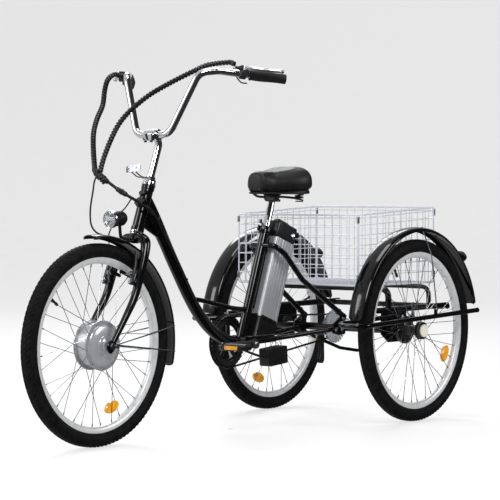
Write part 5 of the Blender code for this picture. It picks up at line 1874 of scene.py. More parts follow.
@dataclass
class Fork:
    """The suspension-free fork with its brake arms, axle nuts and studs."""

    stud_z: float = -0.168

    def build(self) -> None:
        """Makes fork, nuts and brake arms."""
        head = LAYOUT.head
        axle = np.linalg.inv(head) @ np.append(LAYOUT.spot("front_wheel_spin"), 1.0)
        piece("fork_welded", self.tubes(axle).moved(head), BLACK_ENAMEL, "steering", ["fork"])
        spot = LAYOUT.spot("front_wheel_spin")
        nuts = []
        for side in (-1, 1):
            out = aimed(spot + X_AXIS * side * 0.0582, X_AXIS * side)
            washer = [(0, 0), (0.0140, 0), (0.0140, 0.0018), (0, 0.0018)]
            nut = [
                (0, 0.0018), (0.0112, 0.0018), (0.0116, 0.0028), (0.0116, 0.0105), (0.0100, 0.0120),
                (0, 0.0120)
            ]
            stub = [
                (0, 0.0110), (0.0056, 0.0110), (0.0062, 0.0120), (0.0062, 0.0280), (0.0052, 0.0292),
                (0, 0.0295)
            ]
            nuts += [lathe(washer, out, 28), lathe(nut, out, 6), lathe(stub, out, 18)]
        piece("front_axle_nuts", union(nuts), BLACK_STEEL, "steering")
        for name, side in (("left", 1), ("right", -1)):
            self.brake_arm(name, side)

    def tubes(self, axle: Array) -> Shape:
        """Steerer, boss, blades that curve out of it and narrow downwards, drop-outs and brake studs.

        Args:
            axle: the front wheel's axle, in the fork's frame.

        Returns:
            The tubes.
        """
        parts = [sweep(np.array([[0, 0, -0.018], [0, 0, 0.160]]), 0.0122, 28)]
        boss = [
            (0, -0.0340), (0.0150, -0.0330), (0.0190, -0.0290), (0.0190, -0.0150), (0.0180, -0.0135),
            (0, -0.0130)
        ]
        parts.append(lathe(boss, None, 40))
        for side in (-1, 1):
            route = [(side * 0.004, 0, -0.0225), (side * 0.026, 0, -0.0215), (side * 0.0450, 0, -0.034)]
            route += [
                (side * 0.0530, 0, -0.064), (side * 0.0565, 0, -0.115), (side * 0.0580, -0.001, -0.205)
            ]
            route += [
                (side * 0.060, axle[1] * 0.40, axle[2] + 0.100),
                (side * 0.060, axle[1] * 0.92, axle[2] + 0.012)
            ]
            path = catmull(route, 90)
            size = np.interp(
                np.linspace(0, 1, 90), [0, 0.3, 0.6, 0.96, 1], [0.0158, 0.0158, 0.0136, 0.0088, 0.0080]
            )
            parts.append(sweep(path, size, 26))
            outline = np.array(
                [[-0.020, -0.012], [0.016, -0.014], [0.019, 0.0], [0.010, 0.014], [-0.014, 0.014]]
            )
            tab = plate(catmull(outline, 24, loop=True), -0.0028, 0.0028, 0.0008)
            parts.append(tab.moved(shift(side * 0.0602, axle[1], axle[2]) @ ACROSS @ turn("Z", 1.2)))
            stud = [
                (0, 0.006), (0.0085, 0.006), (0.0085, 0.014), (0.0068, 0.016), (0.0068, 0.020), (0, 0.020)
            ]
            parts.append(lathe(stud, shift(side * 0.054, 0, self.stud_z) @ turn("X", pi / 2), 24))
        return union(parts)

    def brake_arm(self, name: str, side: int) -> None:
        """Makes one long brake arm, its bolt, its shoe holder and its rubber shoe.

        Args:
            name: the first word of its pieces' names.
            side: 1 for the left, -1 for the right.
        """
        pivot = LAYOUT.spot(name + "_brake_arm_swing")
        place = LAYOUT.head.copy()
        place[:3, 3] = pivot
        spine = catmull(
            [
                (0, 0, -0.010), (side * 0.002, 0, 0.020), (-side * 0.001, 0, 0.055),
                (-side * 0.011, 0, 0.094)
            ],
            24
        )
        section = soft_rectangle(0.0094, 0.0088, 0.0024, 4)
        body = name + "_front_brake_arm"
        arm = sweep(spine, np.linspace(1.12, 0.78, 24), section=section).moved(place)
        boss = lathe(
            [
                (0, -0.006), (0.0085, -0.006), (0.0090, -0.004), (0.0090, 0.005), (0.0070, 0.0065),
                (0, 0.0065)
            ],
            place @ turn("X", pi / 2), 28
        )
        piece(name + "_brake_arm_forged", arm + boss, BLACK_STEEL, body, [name + "_brake_arm"])
        bolt = hex_bolt(place @ shift(0, -0.0064, 0) @ turn("X", pi / 2), 0.0045, 0.0035)
        holder = rods(
            np.array([[side * 0.006, 0, 0.024]]), np.array([[-side * 0.0330, 0, 0.024]]), 0.0032, 14
        ).moved(place)
        cups = lathe(
            [(0, -0.003), (0.0075, -0.003), (0.0085, 0.0), (0.0075, 0.003), (0, 0.003)], place
            @ shift(-side * 0.009, 0, 0.024) @ turn("Y", pi / 2), 24
        )
        piece(name + "_brake_arm_bolts", bolt + holder + cups, ZINC, body)
        shoe = soft_box((0.0076, 0.0500, 0.0100), 0.0030, 0.0022).moved(
            place @ shift(-side * 0.0335, 0.002, 0.0240)
        )
        piece(name + "_brake_shoe", shoe, TYRE, body)


@dataclass
class Cockpit:
    """Stem, handlebar, grips, levers, throttle and shifter."""

    bar_radius: float = 0.0111
    clamp_y: float = -0.360
    clamp_z: float = 0.934
    lever_rise: float = 0.014

    def bar_route(self) -> Array:
        """The raised bar from its right end to its left end: corners rounded by parabolic arcs.

        Returns:
            The bar's points.
        """
        left = LAYOUT.grip(1)
        end = (left @ np.array([0, 0, 0.1112, 1.0]))[:3]
        start = (left @ np.array([0, 0, -0.095, 1.0]))[:3]
        corners = LAYOUT.route([(0.066, self.clamp_y, self.clamp_z + 0.001), (0.149, -0.318, 1.122)])
        half = [LAYOUT.route([(0, self.clamp_y, self.clamp_z)])[0], *corners, start, end]
        other = [point * np.array([-1, 1, 1]) for point in reversed(half[1:])]
        return rounded(other + half, 0.045, 14)

    def build(self) -> None:
        """Makes every piece of the cockpit."""
        piece(
            "raised_handlebar", sweep(self.bar_route(), self.bar_radius, 28), CHROME_PLATE, "steering",
            ["handlebar"]
        )
        piece("quill_stem", self.stem(), CHROME_PLATE, "steering", ["stem"])
        piece("stem_bolts", self.stem_bolts(), BLACK_STEEL, "steering")
        for name, side in (("left", 1), ("right", -1)):
            self.side(name, side)
        right = LAYOUT.grip(-1)
        angle = np.linspace(0, 2 * pi, 48, endpoint=False)
        rib = 1 + 0.03 * np.cos(angle * 16)
        rows = []
        for height, radius in (
            (0.0045, 0.0118), (0.0045, 0.0178), (0.0065, 0.0184), (0.0440, 0.0176), (0.0465, 0.0196),
            (0.0490, 0.0196), (0.0490, 0.0118)
        ):
            size = radius * (rib if radius > 0.017 else 1.0)
            rows.append(np.column_stack([size * np.cos(angle), size * np.sin(angle), np.full(48, height)]))
        piece(
            "throttle_sleeve_ribbed", skin(np.stack(rows), wrap_rows=True).moved(right), GRIP, "throttle",
            ["throttle_sleeve"]
        )
        shift_place = LAYOUT.grip(-1).copy()
        shift_place[:3, 3] = LAYOUT.spot("shifter_turn")
        ring = [
            (0.0114, -0.0058), (0.0150, -0.0058), (0.0162, -0.0040), (0.0162, 0.0040), (0.0150, 0.0058),
            (0.0114, 0.0058)
        ]
        dial = lathe(ring, shift_place, 40, ring=True)
        blade = catmull(
            [(0.010, -0.0062), (0.030, -0.0050), (0.0400, 0.0), (0.030, 0.0050), (0.010, 0.0062)], 24,
            loop=True
        )
        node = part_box("shift_lever")
        middle = (np.array(node[0]) + np.array(node[1])) / 2
        toward = middle - shift_place[:3, 3]
        aim = frame_at(shift_place[:3, 3], toward, shift_place[:3, 2])
        piece(
            "shifter_dial_and_blade", dial + plate(blade, -0.0030, 0.0030, 0.0014).moved(aim), PLASTIC,
            "shifter", ["shift_lever"]
        )

    def stem(self) -> Shape:
        """The quill out of the head tube, its curved neck and the split clamp round the bar.

        Returns:
            The stem.
        """
        head = LAYOUT.head
        low = (head @ np.array([0, 0, 0.150, 1.0]))[:3]
        knee = (head @ np.array([0, 0, 0.292, 1.0]))[:3]
        clamp = LAYOUT.route([(0, self.clamp_y, self.clamp_z)])[0]
        path = rounded([low, knee, clamp], 0.03, 14)
        neck = sweep(path, 0.0112, 30)
        collar = lathe(
            [(0.0112, 0.1705), (0.0150, 0.1705), (0.0155, 0.1725), (0.0155, 0.1770), (0.0112, 0.1780)],
            head, 40, ring=True
        )
        place = shift(*clamp) @ ACROSS
        barrel = [
            (0.0112, -0.0235), (0.0172, -0.0240), (0.0184, -0.0225), (0.0184, 0.0225), (0.0172, 0.0240),
            (0.0112, 0.0235)
        ]
        lug = soft_box((0.040, 0.016, 0.022), 0.005, 0.002).moved(
            shift(*(clamp + np.array([0, -0.0205, -0.006])))
        )
        return neck + collar + lathe(barrel, place, 44, ring=True) + lug

    def stem_bolts(self) -> Shape:
        """Two clamp bolts under the lug and the expander bolt on the neck.

        Returns:
            The bolts.
        """
        clamp = LAYOUT.route([(0, self.clamp_y, self.clamp_z)])[0]
        under = [aimed(clamp + np.array([x, -0.0210, -0.0172]), -Z_AXIS) for x in (-0.012, 0.012)]
        knee = (LAYOUT.head @ np.array([0, 0, 0.2990, 1.0]))[:3]
        under.append(aimed(knee, LAYOUT.axis("steering_turn")))
        return socket_bolt(np.eye(4), 0.0046, 0.0050).copies(under)

    def side(self, name: str, side: int) -> None:
        """Makes a grip, a lever clamp and a lever on one side of the bar.

        Args:
            name: the first word of its pieces' names.
            side: 1 for the left, -1 for the right.
        """
        place = LAYOUT.grip(side)
        start = 0.002 if side > 0 else 0.050
        end = 0.1172
        height = np.linspace(start, end, 120)
        t = (height - start) / (end - start)
        wave = 0.0007 * np.clip(np.cos(height * 2 * pi / 0.0048) + 0.2, -0.6, 1)
        belly = 0.0010 * np.sin(t * pi * 2) + 0.0156
        lip = 0.0022 * np.exp(-((height - start - 0.002) / 0.0025) ** 2)
        radius = belly + wave * np.clip((t - 0.04) / 0.04, 0, 1) * np.clip((0.94 - t) / 0.04, 0, 1) + lip
        radius[-4:] = np.array([0.0154, 0.0146, 0.0128, 0.0090])
        profile = [(0, start)] + list(zip(radius, height)) + [(0, end + 0.0004)]
        piece(name + "_grip_ribbed", lathe(profile, place, 40), GRIP, "steering", [name + "_grip"])
        ring = [
            (0.0113, -0.0280), (0.0150, -0.0280), (0.0160, -0.0262), (0.0160, -0.0098), (0.0150, -0.0080),
            (0.0113, -0.0080)
        ]
        pivot = LAYOUT.spot("left_lever_squeeze" if side > 0 else "right_lever_squeeze")
        from_ring = (place @ np.array([0, 0, -0.018, 1.0]))[:3]
        gap = pivot - from_ring
        length = float(np.linalg.norm(gap))
        arm_place = frame_at(from_ring, place[:3, 2], gap)
        lift = shift(z=self.lever_rise)
        arm = soft_box(
            (0.026, 0.018, length - 0.004), 0.005, 0.002
        ).moved(arm_place @ shift(z=(length + 0.008) / 2))
        arm += soft_box((0.030, 0.016, length - 0.008), 0.005, 0.002).moved(
            lift @ arm_place @ shift(z=(length + 0.010) / 2)
        )
        barrel_place = lift @ arm_place @ shift(-0.010, 0, length * 0.62) @ turn("Y", -pi / 2)
        barrel = lathe(
            [(0, 0), (0.0060, 0), (0.0060, 0.010), (0.0048, 0.012), (0.0048, 0.018), (0, 0.018)],
            barrel_place, 20
        )
        cut_out = soft_box((0.014, 0.015, 0.012), 0.003, 0.0015).moved(
            arm_place @ shift(0.004, 0.011, length * 0.45)
        )
        body = lathe(ring, place, 36, ring=True) + arm + barrel + cut_out
        piece(name + "_lever_clamp_body", body, PLASTIC, "steering", [name + "_lever_clamp"])
        piece(
            name + "_lever_blade", self.lever(name, side), LEVER_ALLOY, name + "_lever",
            [name + "_brake_lever"]
        )

    def lever(self, name: str, side: int) -> Shape:
        """A blade that runs beside the grip: an oval section which widens to a ball at its free end.

        Args:
            name: the first word of its pieces' names.
            side: 1 for the left, -1 for the right.

        Returns:
            The lever blade.
        """
        place = LAYOUT.grip(side)
        pivot = LAYOUT.spot(name + "_lever_squeeze")
        local = np.linalg.inv(place) @ np.append(pivot, 1.0)
        front = local[0]
        rise = place[:3, :3].T @ Z_AXIS * self.lever_rise
        points = np.array([(front - 0.004, 0, -0.016), (front + 0.004, 0, 0.004), (front + 0.009, 0, 0.030),
                           (front + 0.010, 0, 0.062), (front + 0.016, 0, 0.094)])
        points[:, :2] += rise[:2]
        path = catmull(points, 50)
        size = np.interp(np.linspace(0, 1, 50), [0, 0.12, 0.5, 1], [0.0046, 0.0056, 0.0050, 0.0046])
        section = circle(20) * np.array([0.80, 1.25])
        blade = sweep(path, size, section=section).moved(place)
        tip = place @ shift(*path[-1])
        t = np.linspace(0, pi, 17)
        ball = lathe(np.column_stack([0.0068 * np.sin(t), -0.0068 * np.cos(t)]), tip, 24)
        eye = lathe(
            [(0, -0.0070), (0.0062, -0.0070), (0.0068, 0.0), (0.0062, 0.0070), (0, 0.0070)], place
            @ shift(front + rise[0], rise[1], -0.016) @ turn("X", pi / 2), 24
        )
        shape = blade + ball + eye
        return shape


@dataclass
class FrontDress:
    """The front fender, its stays, the reflector bracket and the headlight, all of which steer."""

    fender_crown: float = 0.3300
    fender_depth: float = 0.0120
    fender_half_width: float = 0.0300
    fender_start: float = 96.0
    fender_end: float = -14.0
    stay_reach: float = 0.3215
    stay_angles: tuple = (8.0, -6.0)
    stay_half_width: float = 0.0290
    stay_radius: float = 0.0024
    plate_size: tuple = (0.0140, 0.0105)
    plate_half_thickness: float = 0.0009
    hole_radius: float = 0.0042
    wire_radius: float = 0.0021
    wire_half_gap: float = 0.009

    def build(self) -> None:
        """Makes the fender, stays, bracket and lamp."""
        centre = LAYOUT.spot("front_wheel_spin")
        sizes = (self.fender_crown, self.fender_depth, self.fender_half_width)
        ends = (self.fender_start, self.fender_end)
        Fender("front_fender_shell", "front_fender", "steering", centre, *sizes, *ends).build()
        stays = []
        for side in (-1, 1):
            for angle in np.radians(self.stay_angles):
                end = centre + self.stay_reach * np.array([0.0, cos(angle), sin(angle)])
                end = end + X_AXIS * side * self.stay_half_width
                foot = centre + np.array([side * 0.0660, 0.012, 0.003])
                bow = (foot + end) / 2 + X_AXIS * side * 0.004
                stays.append(sweep(rounded([foot, bow, end], 0.05, 8), self.stay_radius, 12))
        piece("front_fender_stays", union(stays), ZINC, "steering")
        piece("front_reflector_bracket", self.bracket(), ZINC, "steering")
        self.lamp()

    def bracket(self) -> Shape:
        """A flat plate with two holes, held before the head tube on two wires from the upper headset.

        Returns:
            The bracket and its wires.
        """
        top = (LAYOUT.head @ np.array([0, -0.0200, 0.1660, 1.0]))[:3]
        middle = LAYOUT.route([(0.0, -0.449, 0.831)])[0]
        angle = np.linspace(0, 2 * pi, 32, endpoint=False)
        square = np.column_stack([np.cos(angle), np.sin(angle)])
        edge = np.sign(square) * np.abs(square) ** 0.35 * np.array(self.plate_size)
        hole = self.hole_radius * square
        half = self.plate_half_thickness
        panels = []
        for x in (-self.plate_size[0], self.plate_size[0]):
            rows = []
            for ring, height in ((hole, -half), (edge, -half), (edge, half), (hole, half)):
                rows.append(np.column_stack([ring + np.array([x, 0.0]), np.full(32, height)]))
            panels.append(skin(np.stack(rows), wrap_rows=True))
        place = frame_at(middle, (1.0, 0.10, 0.10), (0, -0.96, 0.20))
        wires = []
        for x in (-self.wire_half_gap, self.wire_half_gap):
            bend = top + np.array([x, -0.030, 0.004])
            foot = middle + X_AXIS * x - Z_AXIS * 0.010
            wires.append(sweep(rounded([top + X_AXIS * x, bend, foot], 0.02, 8), self.wire_radius, 10))
        return union(panels).moved(place) + union(wires)

    def lamp(self) -> None:
        """Makes the headlight's shell, its chrome ring, its lens, its reflector and its bracket."""
        back = LAYOUT.route([(0, -0.490, 0.681)])[0]
        place = aimed(back, (0, -0.995, -0.06))
        shell = [
            (0, 0.0), (0.0110, 0.0005), (0.0175, 0.0030), (0.0205, 0.0080), (0.0215, 0.0200),
            (0.0220, 0.0440)
        ]
        shell += [(0.0245, 0.0480), (0.0250, 0.0560), (0.0235, 0.0570), (0.0200, 0.0500), (0, 0.0400)]
        bracket = sweep(
            rounded(LAYOUT.route([(0, -0.462, 0.617), (0, -0.505, 0.622), (0, -0.510, 0.664)]), 0.01, 8),
            0.0050, 14
        )
        fins = [
            lathe(
                [(0.0190, z), (0.0226, z + 0.0006), (0.0226, z + 0.0022), (0.0190, z + 0.0028)], place, 40,
                ring=True
            )
            for z in (0.012, 0.019, 0.026, 0.033)
        ]
        piece(
            "headlight_shell", lathe(shell, place, 56) + union(fins) + bracket, PLASTIC, "steering",
            ["headlight"]
        )
        ring = [
            (0.0232, 0.0520), (0.0262, 0.0525), (0.0268, 0.0560), (0.0266, 0.0640), (0.0255, 0.0660),
            (0.0236, 0.0655), (0.0230, 0.0620)
        ]
        piece("headlight_ring", lathe(ring, place, 56, ring=True), CHROME_PLATE, "steering")
        t = np.linspace(0, 1, 20)
        dome = [(0.0238 * r, 0.0640 + 0.0050 * (1 - r**2)) for r in t[::-1]]
        piece(
            "headlight_lens", lathe([(0, 0.0622), (0.0238, 0.0622)] + dome, place, 56), CLEAR_LENS,
            "steering"
        )
        bowl = [(0.0228 * r, 0.0400 + 0.0200 * r**2) for r in t]
        under = [(0.0231, 0.0605), (0.0231, 0.0590), (0, 0.0385)]
        bulb = lathe(
            [(0, 0.040), (0.0055, 0.040), (0.0050, 0.050), (0.0028, 0.0535), (0, 0.0540)], place, 20
        )
        piece("headlight_bowl", lathe(bowl + under, place, 48) + bulb, CHROME_PLATE, "steering")


# Seat and battery


@dataclass
class Saddle:
    """A wide sprung saddle on its post."""

    base_z: float = 0.7620
    height: float = 0.071
    voxel: float = 0.0045
    pressure: float = 4.0
    swell_limit: float = 0.0045
    swell_frames: int = 20
    dip_depth: float = 0.0022
    dip_width: float = 0.026
    seam_depth: float = 0.0008
    seam_width: float = 0.0030
    rows: tuple = (
        (0.134, 0.022, -0.004), (0.142, 0.038, -0.002), (0.160, 0.049, -0.002), (0.185, 0.057, -0.003),
        (0.215, 0.073, -0.001), (0.262, 0.096, 0.008), (0.300, 0.1030, 0.016), (0.330, 0.094, 0.018),
        (0.348, 0.068, 0.015), (0.355, 0.036, 0.009),
    )

    def build(self) -> None:
        """Makes the post, clamp, rails, springs, pan and padded cover."""
        seat = LAYOUT.seat
        post = [
            (0, 0.2400), (0.0115, 0.2400), (0.0125, 0.2412), (0.0125, 0.4600), (0.0110, 0.4640),
            (0.0110, 0.4860), (0, 0.4860)
        ]
        piece("seat_post_tube", lathe(post, seat, 40), CHROME_PLATE, "seat", ["seat_post"])
        clamp_at = shift(*(np.array((seat @ np.array([0, 0, 0.482, 1.0]))[:3]) + Z_AXIS * 0.0181)) @ ACROSS
        clamp = [
            (0, -0.0225), (0.0135, -0.0225), (0.0152, -0.0205), (0.0152, -0.0140), (0.0138, -0.0120),
            (0.0138, 0.0120)
        ]
        clamp += [(0.0152, 0.0140), (0.0152, 0.0205), (0.0135, 0.0225), (0, 0.0225)]
        nuts = hex_bolt(clamp_at @ shift(z=0.0225), 0.0065, 0.005) + hex_bolt(
            clamp_at @ shift(z=-0.0225) @ turn("X", pi), 0.0065, 0.005
        )
        piece("saddle_clamp_block", lathe(clamp, clamp_at, 32) + nuts, BLACK_STEEL, "seat")
        piece("saddle_rails_and_springs", self.rails(), BLACK_STEEL, "seat", ["saddle_springs"])
        piece("saddle_pan", self.form(0.86, 0.012, -0.0065), PLASTIC, "seat")
        self.cover()

    def rails(self) -> Shape:
        """Two bent rails, and two helix springs: radius * (cos a, sin a) while the height grows with a.

        Returns:
            The rails and springs.
        """
        parts = []
        for side in (-1, 1):
            route = [
                (side * 0.020, 0.136, 0.772), (side * 0.022, 0.180, 0.749), (side * 0.024, 0.262, 0.747)
            ]
            route += [(side * 0.046, 0.316, 0.742)]
            parts.append(sweep(catmull(LAYOUT.route(route), 50), 0.0040, 14))
            centre = LAYOUT.route([(side * 0.048, 0.312, 0.733)])[0]
            angle = np.linspace(0, 2 * pi * 4.5, 150)
            size = 0.0118 + 0.0016 * np.sin(np.linspace(0, pi, 150))
            coil = np.column_stack(
                [size * np.cos(angle), size * np.sin(angle), np.linspace(0.003, 0.0435, 150)]
            )
            parts.append(sweep(coil + centre, 0.0025, 10))
            for z in (0.0, 0.0440):
                disc = [(0, -0.002), (0.0125, -0.002), (0.0138, 0.0), (0.0125, 0.002), (0, 0.002)]
                parts.append(lathe(disc, shift(*centre) @ shift(z=z), 28))
        return union(parts)

    def form(self, scale: float, thick: float, lift: float) -> Shape:
        """A lofted form along Y: each row is a superellipse over the base, its width from the table.

        Args:
            scale: its size against the cover's outline.
            thick: its height from edge to crown.
            lift: how far it is raised.

        Returns:
            The closed form.
        """
        table = np.asarray(self.rows, float)
        fine = catmull(table, 60)
        angle = np.linspace(0, 2 * pi, 56, endpoint=False)
        c = np.sign(np.cos(angle)) * np.abs(np.cos(angle)) ** 0.70
        s = np.sign(np.sin(angle)) * np.abs(np.sin(angle)) ** 0.80
        y, half, rise = fine[:, 0], fine[:, 1] * scale, fine[:, 2]
        ends = np.sqrt(np.clip(1 - (np.abs(np.linspace(-1, 1, 60)) ** 9), 0.02, 1))
        up, down = (thick * 0.62 + rise) * ends, thick * 0.38 * ends
        rows = np.empty((60, 56, 3))
        rows[:, :, 0] = half[:, None] * c[None]
        rows[:, :, 1] = (y.mean() + (y - y.mean()) * (1.0 if scale > 0.95 else 0.95))[:, None]
        rows[:, :, 2] = self.base_z + lift + thick * 0.38 + s[None] * np.where(
            s[None] > 0, up[:, None], down[:, None]
        )
        return skin(rows + LAYOUT.middle)

    def cover(self) -> None:
        """Makes the padded cover: a crowned form swollen by a short cloth run, with a shallow centre dip."""
        shape = self.form(0.965, self.height - 0.006, 0.002)
        cover = piece("saddle_cover", shape, VINYL, "seat", ["saddle"], sharp=180)
        count = self.settle(cover)
        LOG.info("saddle_cover: %d points after its cloth run", count)

    def settle(self, cover: bpy.types.Object) -> int:
        """Inflates the cover as cloth for a moment, holds each point near its start, and dips its middle.

        Args:
            cover: the cover's object.

        Returns:
            How many points the finished mesh has.
        """
        remesh = cover.modifiers.new("even_mesh", "REMESH")
        remesh.mode = "VOXEL"
        remesh.voxel_size = self.voxel
        apply_modifiers(cover)
        start = mesh_points(cover)
        cloth = cover.modifiers.new("swell", "CLOTH")
        cloth.settings.use_pressure = True
        cloth.settings.uniform_pressure_force = self.pressure
        cloth.settings.effector_weights.gravity = 0.0
        cloth.settings.quality = 5
        scene = bpy.context.scene
        for frame_number in range(1, self.swell_frames + 1):
            scene.frame_set(frame_number)
        apply_modifiers(cover)
        scene.frame_set(1)
        points = mesh_points(cover)
        move = points - start
        size = np.linalg.norm(move, axis=1)[:, None]
        points = start + move * np.minimum(1.0, self.swell_limit / np.maximum(size, 1e-9))
        centre = points - LAYOUT.middle
        rear = np.clip((centre[:, 1] - 0.16) / 0.10, 0, 1)
        top = np.clip((points[:, 2] - self.base_z - 0.030) / 0.02, 0, 1)
        dip = self.dip_depth * np.exp(-((centre[:, 0] / self.dip_width) ** 2)) * rear
        apart = np.abs(centre[:, 0]) - 0.020 - 0.040 * rear
        seam = self.seam_depth * np.exp(-((apart / self.seam_width) ** 2))
        points[:, 2] -= (dip + seam) * top
        cover.data.vertices.foreach_set("co", points.astype(np.float32).ravel())
        cover.data.update()
        smooth = cover.modifiers.new("finer", "SUBSURF")
        smooth.levels = smooth.render_levels = 1
        cover.data.shade_smooth()
        return len(points)


def mesh_points(obj: bpy.types.Object) -> Array:
    """An object's mesh points as (n, 3).

    Args:
        obj: the object.

    Returns:
        One row for each point.
    """
    points = np.empty(len(obj.data.vertices) * 3, np.float32)
    obj.data.vertices.foreach_get("co", points)
    return points.reshape(-1, 3).astype(float)


def apply_modifiers(obj: bpy.types.Object) -> None:
    """Bakes an object's modifiers into its mesh and takes them off.

    Args:
        obj: the object, whose modifiers become its mesh.
    """
    graph = bpy.context.evaluated_depsgraph_get()
    mesh = bpy.data.meshes.new_from_object(obj.evaluated_get(graph))
    obj.modifiers.clear()
    obj.data = mesh


@dataclass
class PowerPack:
    """The battery behind the seat tube with its dock, lock, key, controller and the seat clamp's lever."""

    half_width: float = 0.037
    front: float = 0.0225
    back: float = 0.1230
    low: float = 0.100
    high: float = 0.430

    def build(self) -> None:
        """Makes every piece round the battery."""
        seat = LAYOUT.seat
        depth = self.back - self.front
        middle = (self.front + self.back) / 2
        section = self.section(2 * self.half_width, depth)
        rows = []
        for z, scale in (
            (self.low, 0.97), (self.low + 0.002, 1.0), (self.high - 0.058, 1.0), (self.high - 0.056, 0.97)
        ):
            rows.append(np.column_stack([section * scale, np.full(len(section), z)]))
        case = skin(np.stack(rows)).moved(seat @ shift(y=middle))
        piece("battery_case", case, BATTERY_CASE, "battery_pack", ["battery"])
        cap = soft_box(
            (0.0745, depth + 0.001, 0.0560), 0.012, 0.007, 8
        ).moved(seat @ shift(0, middle, self.high - 0.028))
        foot = soft_box(
            (0.0745, depth + 0.001, 0.0120), 0.012, 0.003, 8
        ).moved(seat @ shift(0, middle, self.low + 0.004))
        handle_path = [(0, middle - 0.034, self.high - 0.006), (0, middle - 0.030, self.high + 0.010)]
        handle_path += [(0, middle + 0.030, self.high + 0.010), (0, middle + 0.034, self.high - 0.006)]
        strap = sweep(
            rounded(handle_path, 0.012, 8), 1.0, section=soft_rectangle(0.004, 0.018, 0.0018, 4)
        ).moved(seat)
        lock = lathe(
            [(0, 0.030), (0.0105, 0.030), (0.0105, 0.0385), (0.0095, 0.0395), (0, 0.0395)], seat
            @ shift(0, 0.101, 0.400) @ turn("Y", pi / 2), 28
        )
        piece("battery_end_caps", cap + foot + strap, CAP, "battery_pack")
        piece("battery_lock", lock, CHROME_PLATE, "battery_pack")
        self.key(seat)
        self.dock(seat)
        box_place = shift(*LAYOUT.route([(0.004, 0.234, 0.224)])[0]) @ turn("X", radians(5))
        box = soft_box((0.046, 0.100, 0.056), 0.006, 0.003).moved(box_place)
        ribs = [
            soft_box((0.0475, 0.004, 0.058), 0.001, 0.001, 3).moved(box_place @ shift(0, y, 0))
            for y in np.linspace(-0.040, 0.040, 9)
        ]
        piece("controller_case", box + union(ribs), PLASTIC, "frame", ["controller_box"])
        pivot = shift(*LAYOUT.spot("seat_clamp_turn"))
        aligned = seat.copy()
        aligned[:3, 3] = pivot[:3, 3]
        route = rounded([(0.0085, 0, 0), (0.0180, 0, 0), (0.0180, -0.030, 0.014)], 0.008, 8)
        knob = lathe(
            [(0, -0.0065), (0.0055, -0.0055), (0.0075, 0), (0.0055, 0.0055), (0, 0.0065)], aligned
            @ shift(0.018, -0.030, 0.014), 24
        )
        piece(
            "clamp_lever_arm", sweep(route, 0.0041, 16).moved(aligned) + knob, CHROME_PLATE, "clamp_lever",
            ["quick_release_lever"]
        )

    def section(self, width: float, depth: float) -> Array:
        """A soft rectangle whose long sides carry narrow grooves, cut by a clipped cosine along the depth.

        Args:
            width: the case's width.
            depth: the case's depth.

        Returns:
            The outline's points.
        """
        outline = soft_rectangle(width, depth, 0.010, 8)
        fine = []
        for start, end in zip(outline, np.roll(outline, -1, 0)):
            steps = max(1, int(np.linalg.norm(end - start) / 0.0009))
            fine.append(start + (end - start) * np.linspace(0, 1, steps, endpoint=False)[:, None])
        points = np.vstack(fine)
        along = np.clip((depth / 2 - 0.012 - np.abs(points[:, 1])) / 0.002, 0, 1)
        groove = np.clip(np.cos(points[:, 1] * 2 * pi / 0.0155) * 3 - 2.1, 0, 1) * along
        side = np.abs(points[:, 0]) > width / 2 - 0.003
        points[:, 0] -= np.sign(points[:, 0]) * groove * 0.0016 * side
        return points

    def key(self, seat: Array) -> None:
        """Makes the key in the lock with its ring.

        Args:
            seat: the seat tube's frame.
        """
        place = seat.copy()
        place[:3, 3] = LAYOUT.spot("key_turn")
        blade = soft_box((0.012, 0.0022, 0.006), 0.0008, 0.0005, 3).moved(place @ shift(0.006))
        angle = np.linspace(0, 2 * pi, 24, endpoint=False)
        bow = plate(
            np.column_stack([0.0085 * np.cos(angle), 0.0085 * np.sin(angle)]), -0.0015, 0.0015, 0.0006
        )
        bow = bow.moved(place @ shift(0.0170) @ turn("X", pi / 2))
        ring = np.column_stack([0.007 * np.cos(angle), 0 * angle, 0.007 * np.sin(angle) - 0.008])
        loop = sweep(ring, 0.0007, 8, loop=True).moved(place @ shift(0.0200))
        piece("battery_key_blade", blade + loop, CHROME_PLATE, "key", ["battery_key"])
        piece("battery_key_bow", bow, PLASTIC, "key")

    def dock(self, seat: Array) -> None:
        """Makes the wedge under the battery and the rail it slides on.

        Args:
            seat: the seat tube's frame.
        """
        corners = np.array([(0.0225, 0.031), (0.0225, 0.0985), (0.1235, 0.0985), (0.1235, 0.068)])
        wedge = plate(corners, -0.0375, 0.0375, 0.004).moved(seat @ ACROSS)
        rail = soft_box((0.020, 0.0030, 0.240), 0.001, 0.0006, 3).moved(seat @ shift(0, 0.0190, 0.245))
        piece("battery_dock_wedge", wedge + rail, CAP, "frame", ["battery_dock"])


# Cables


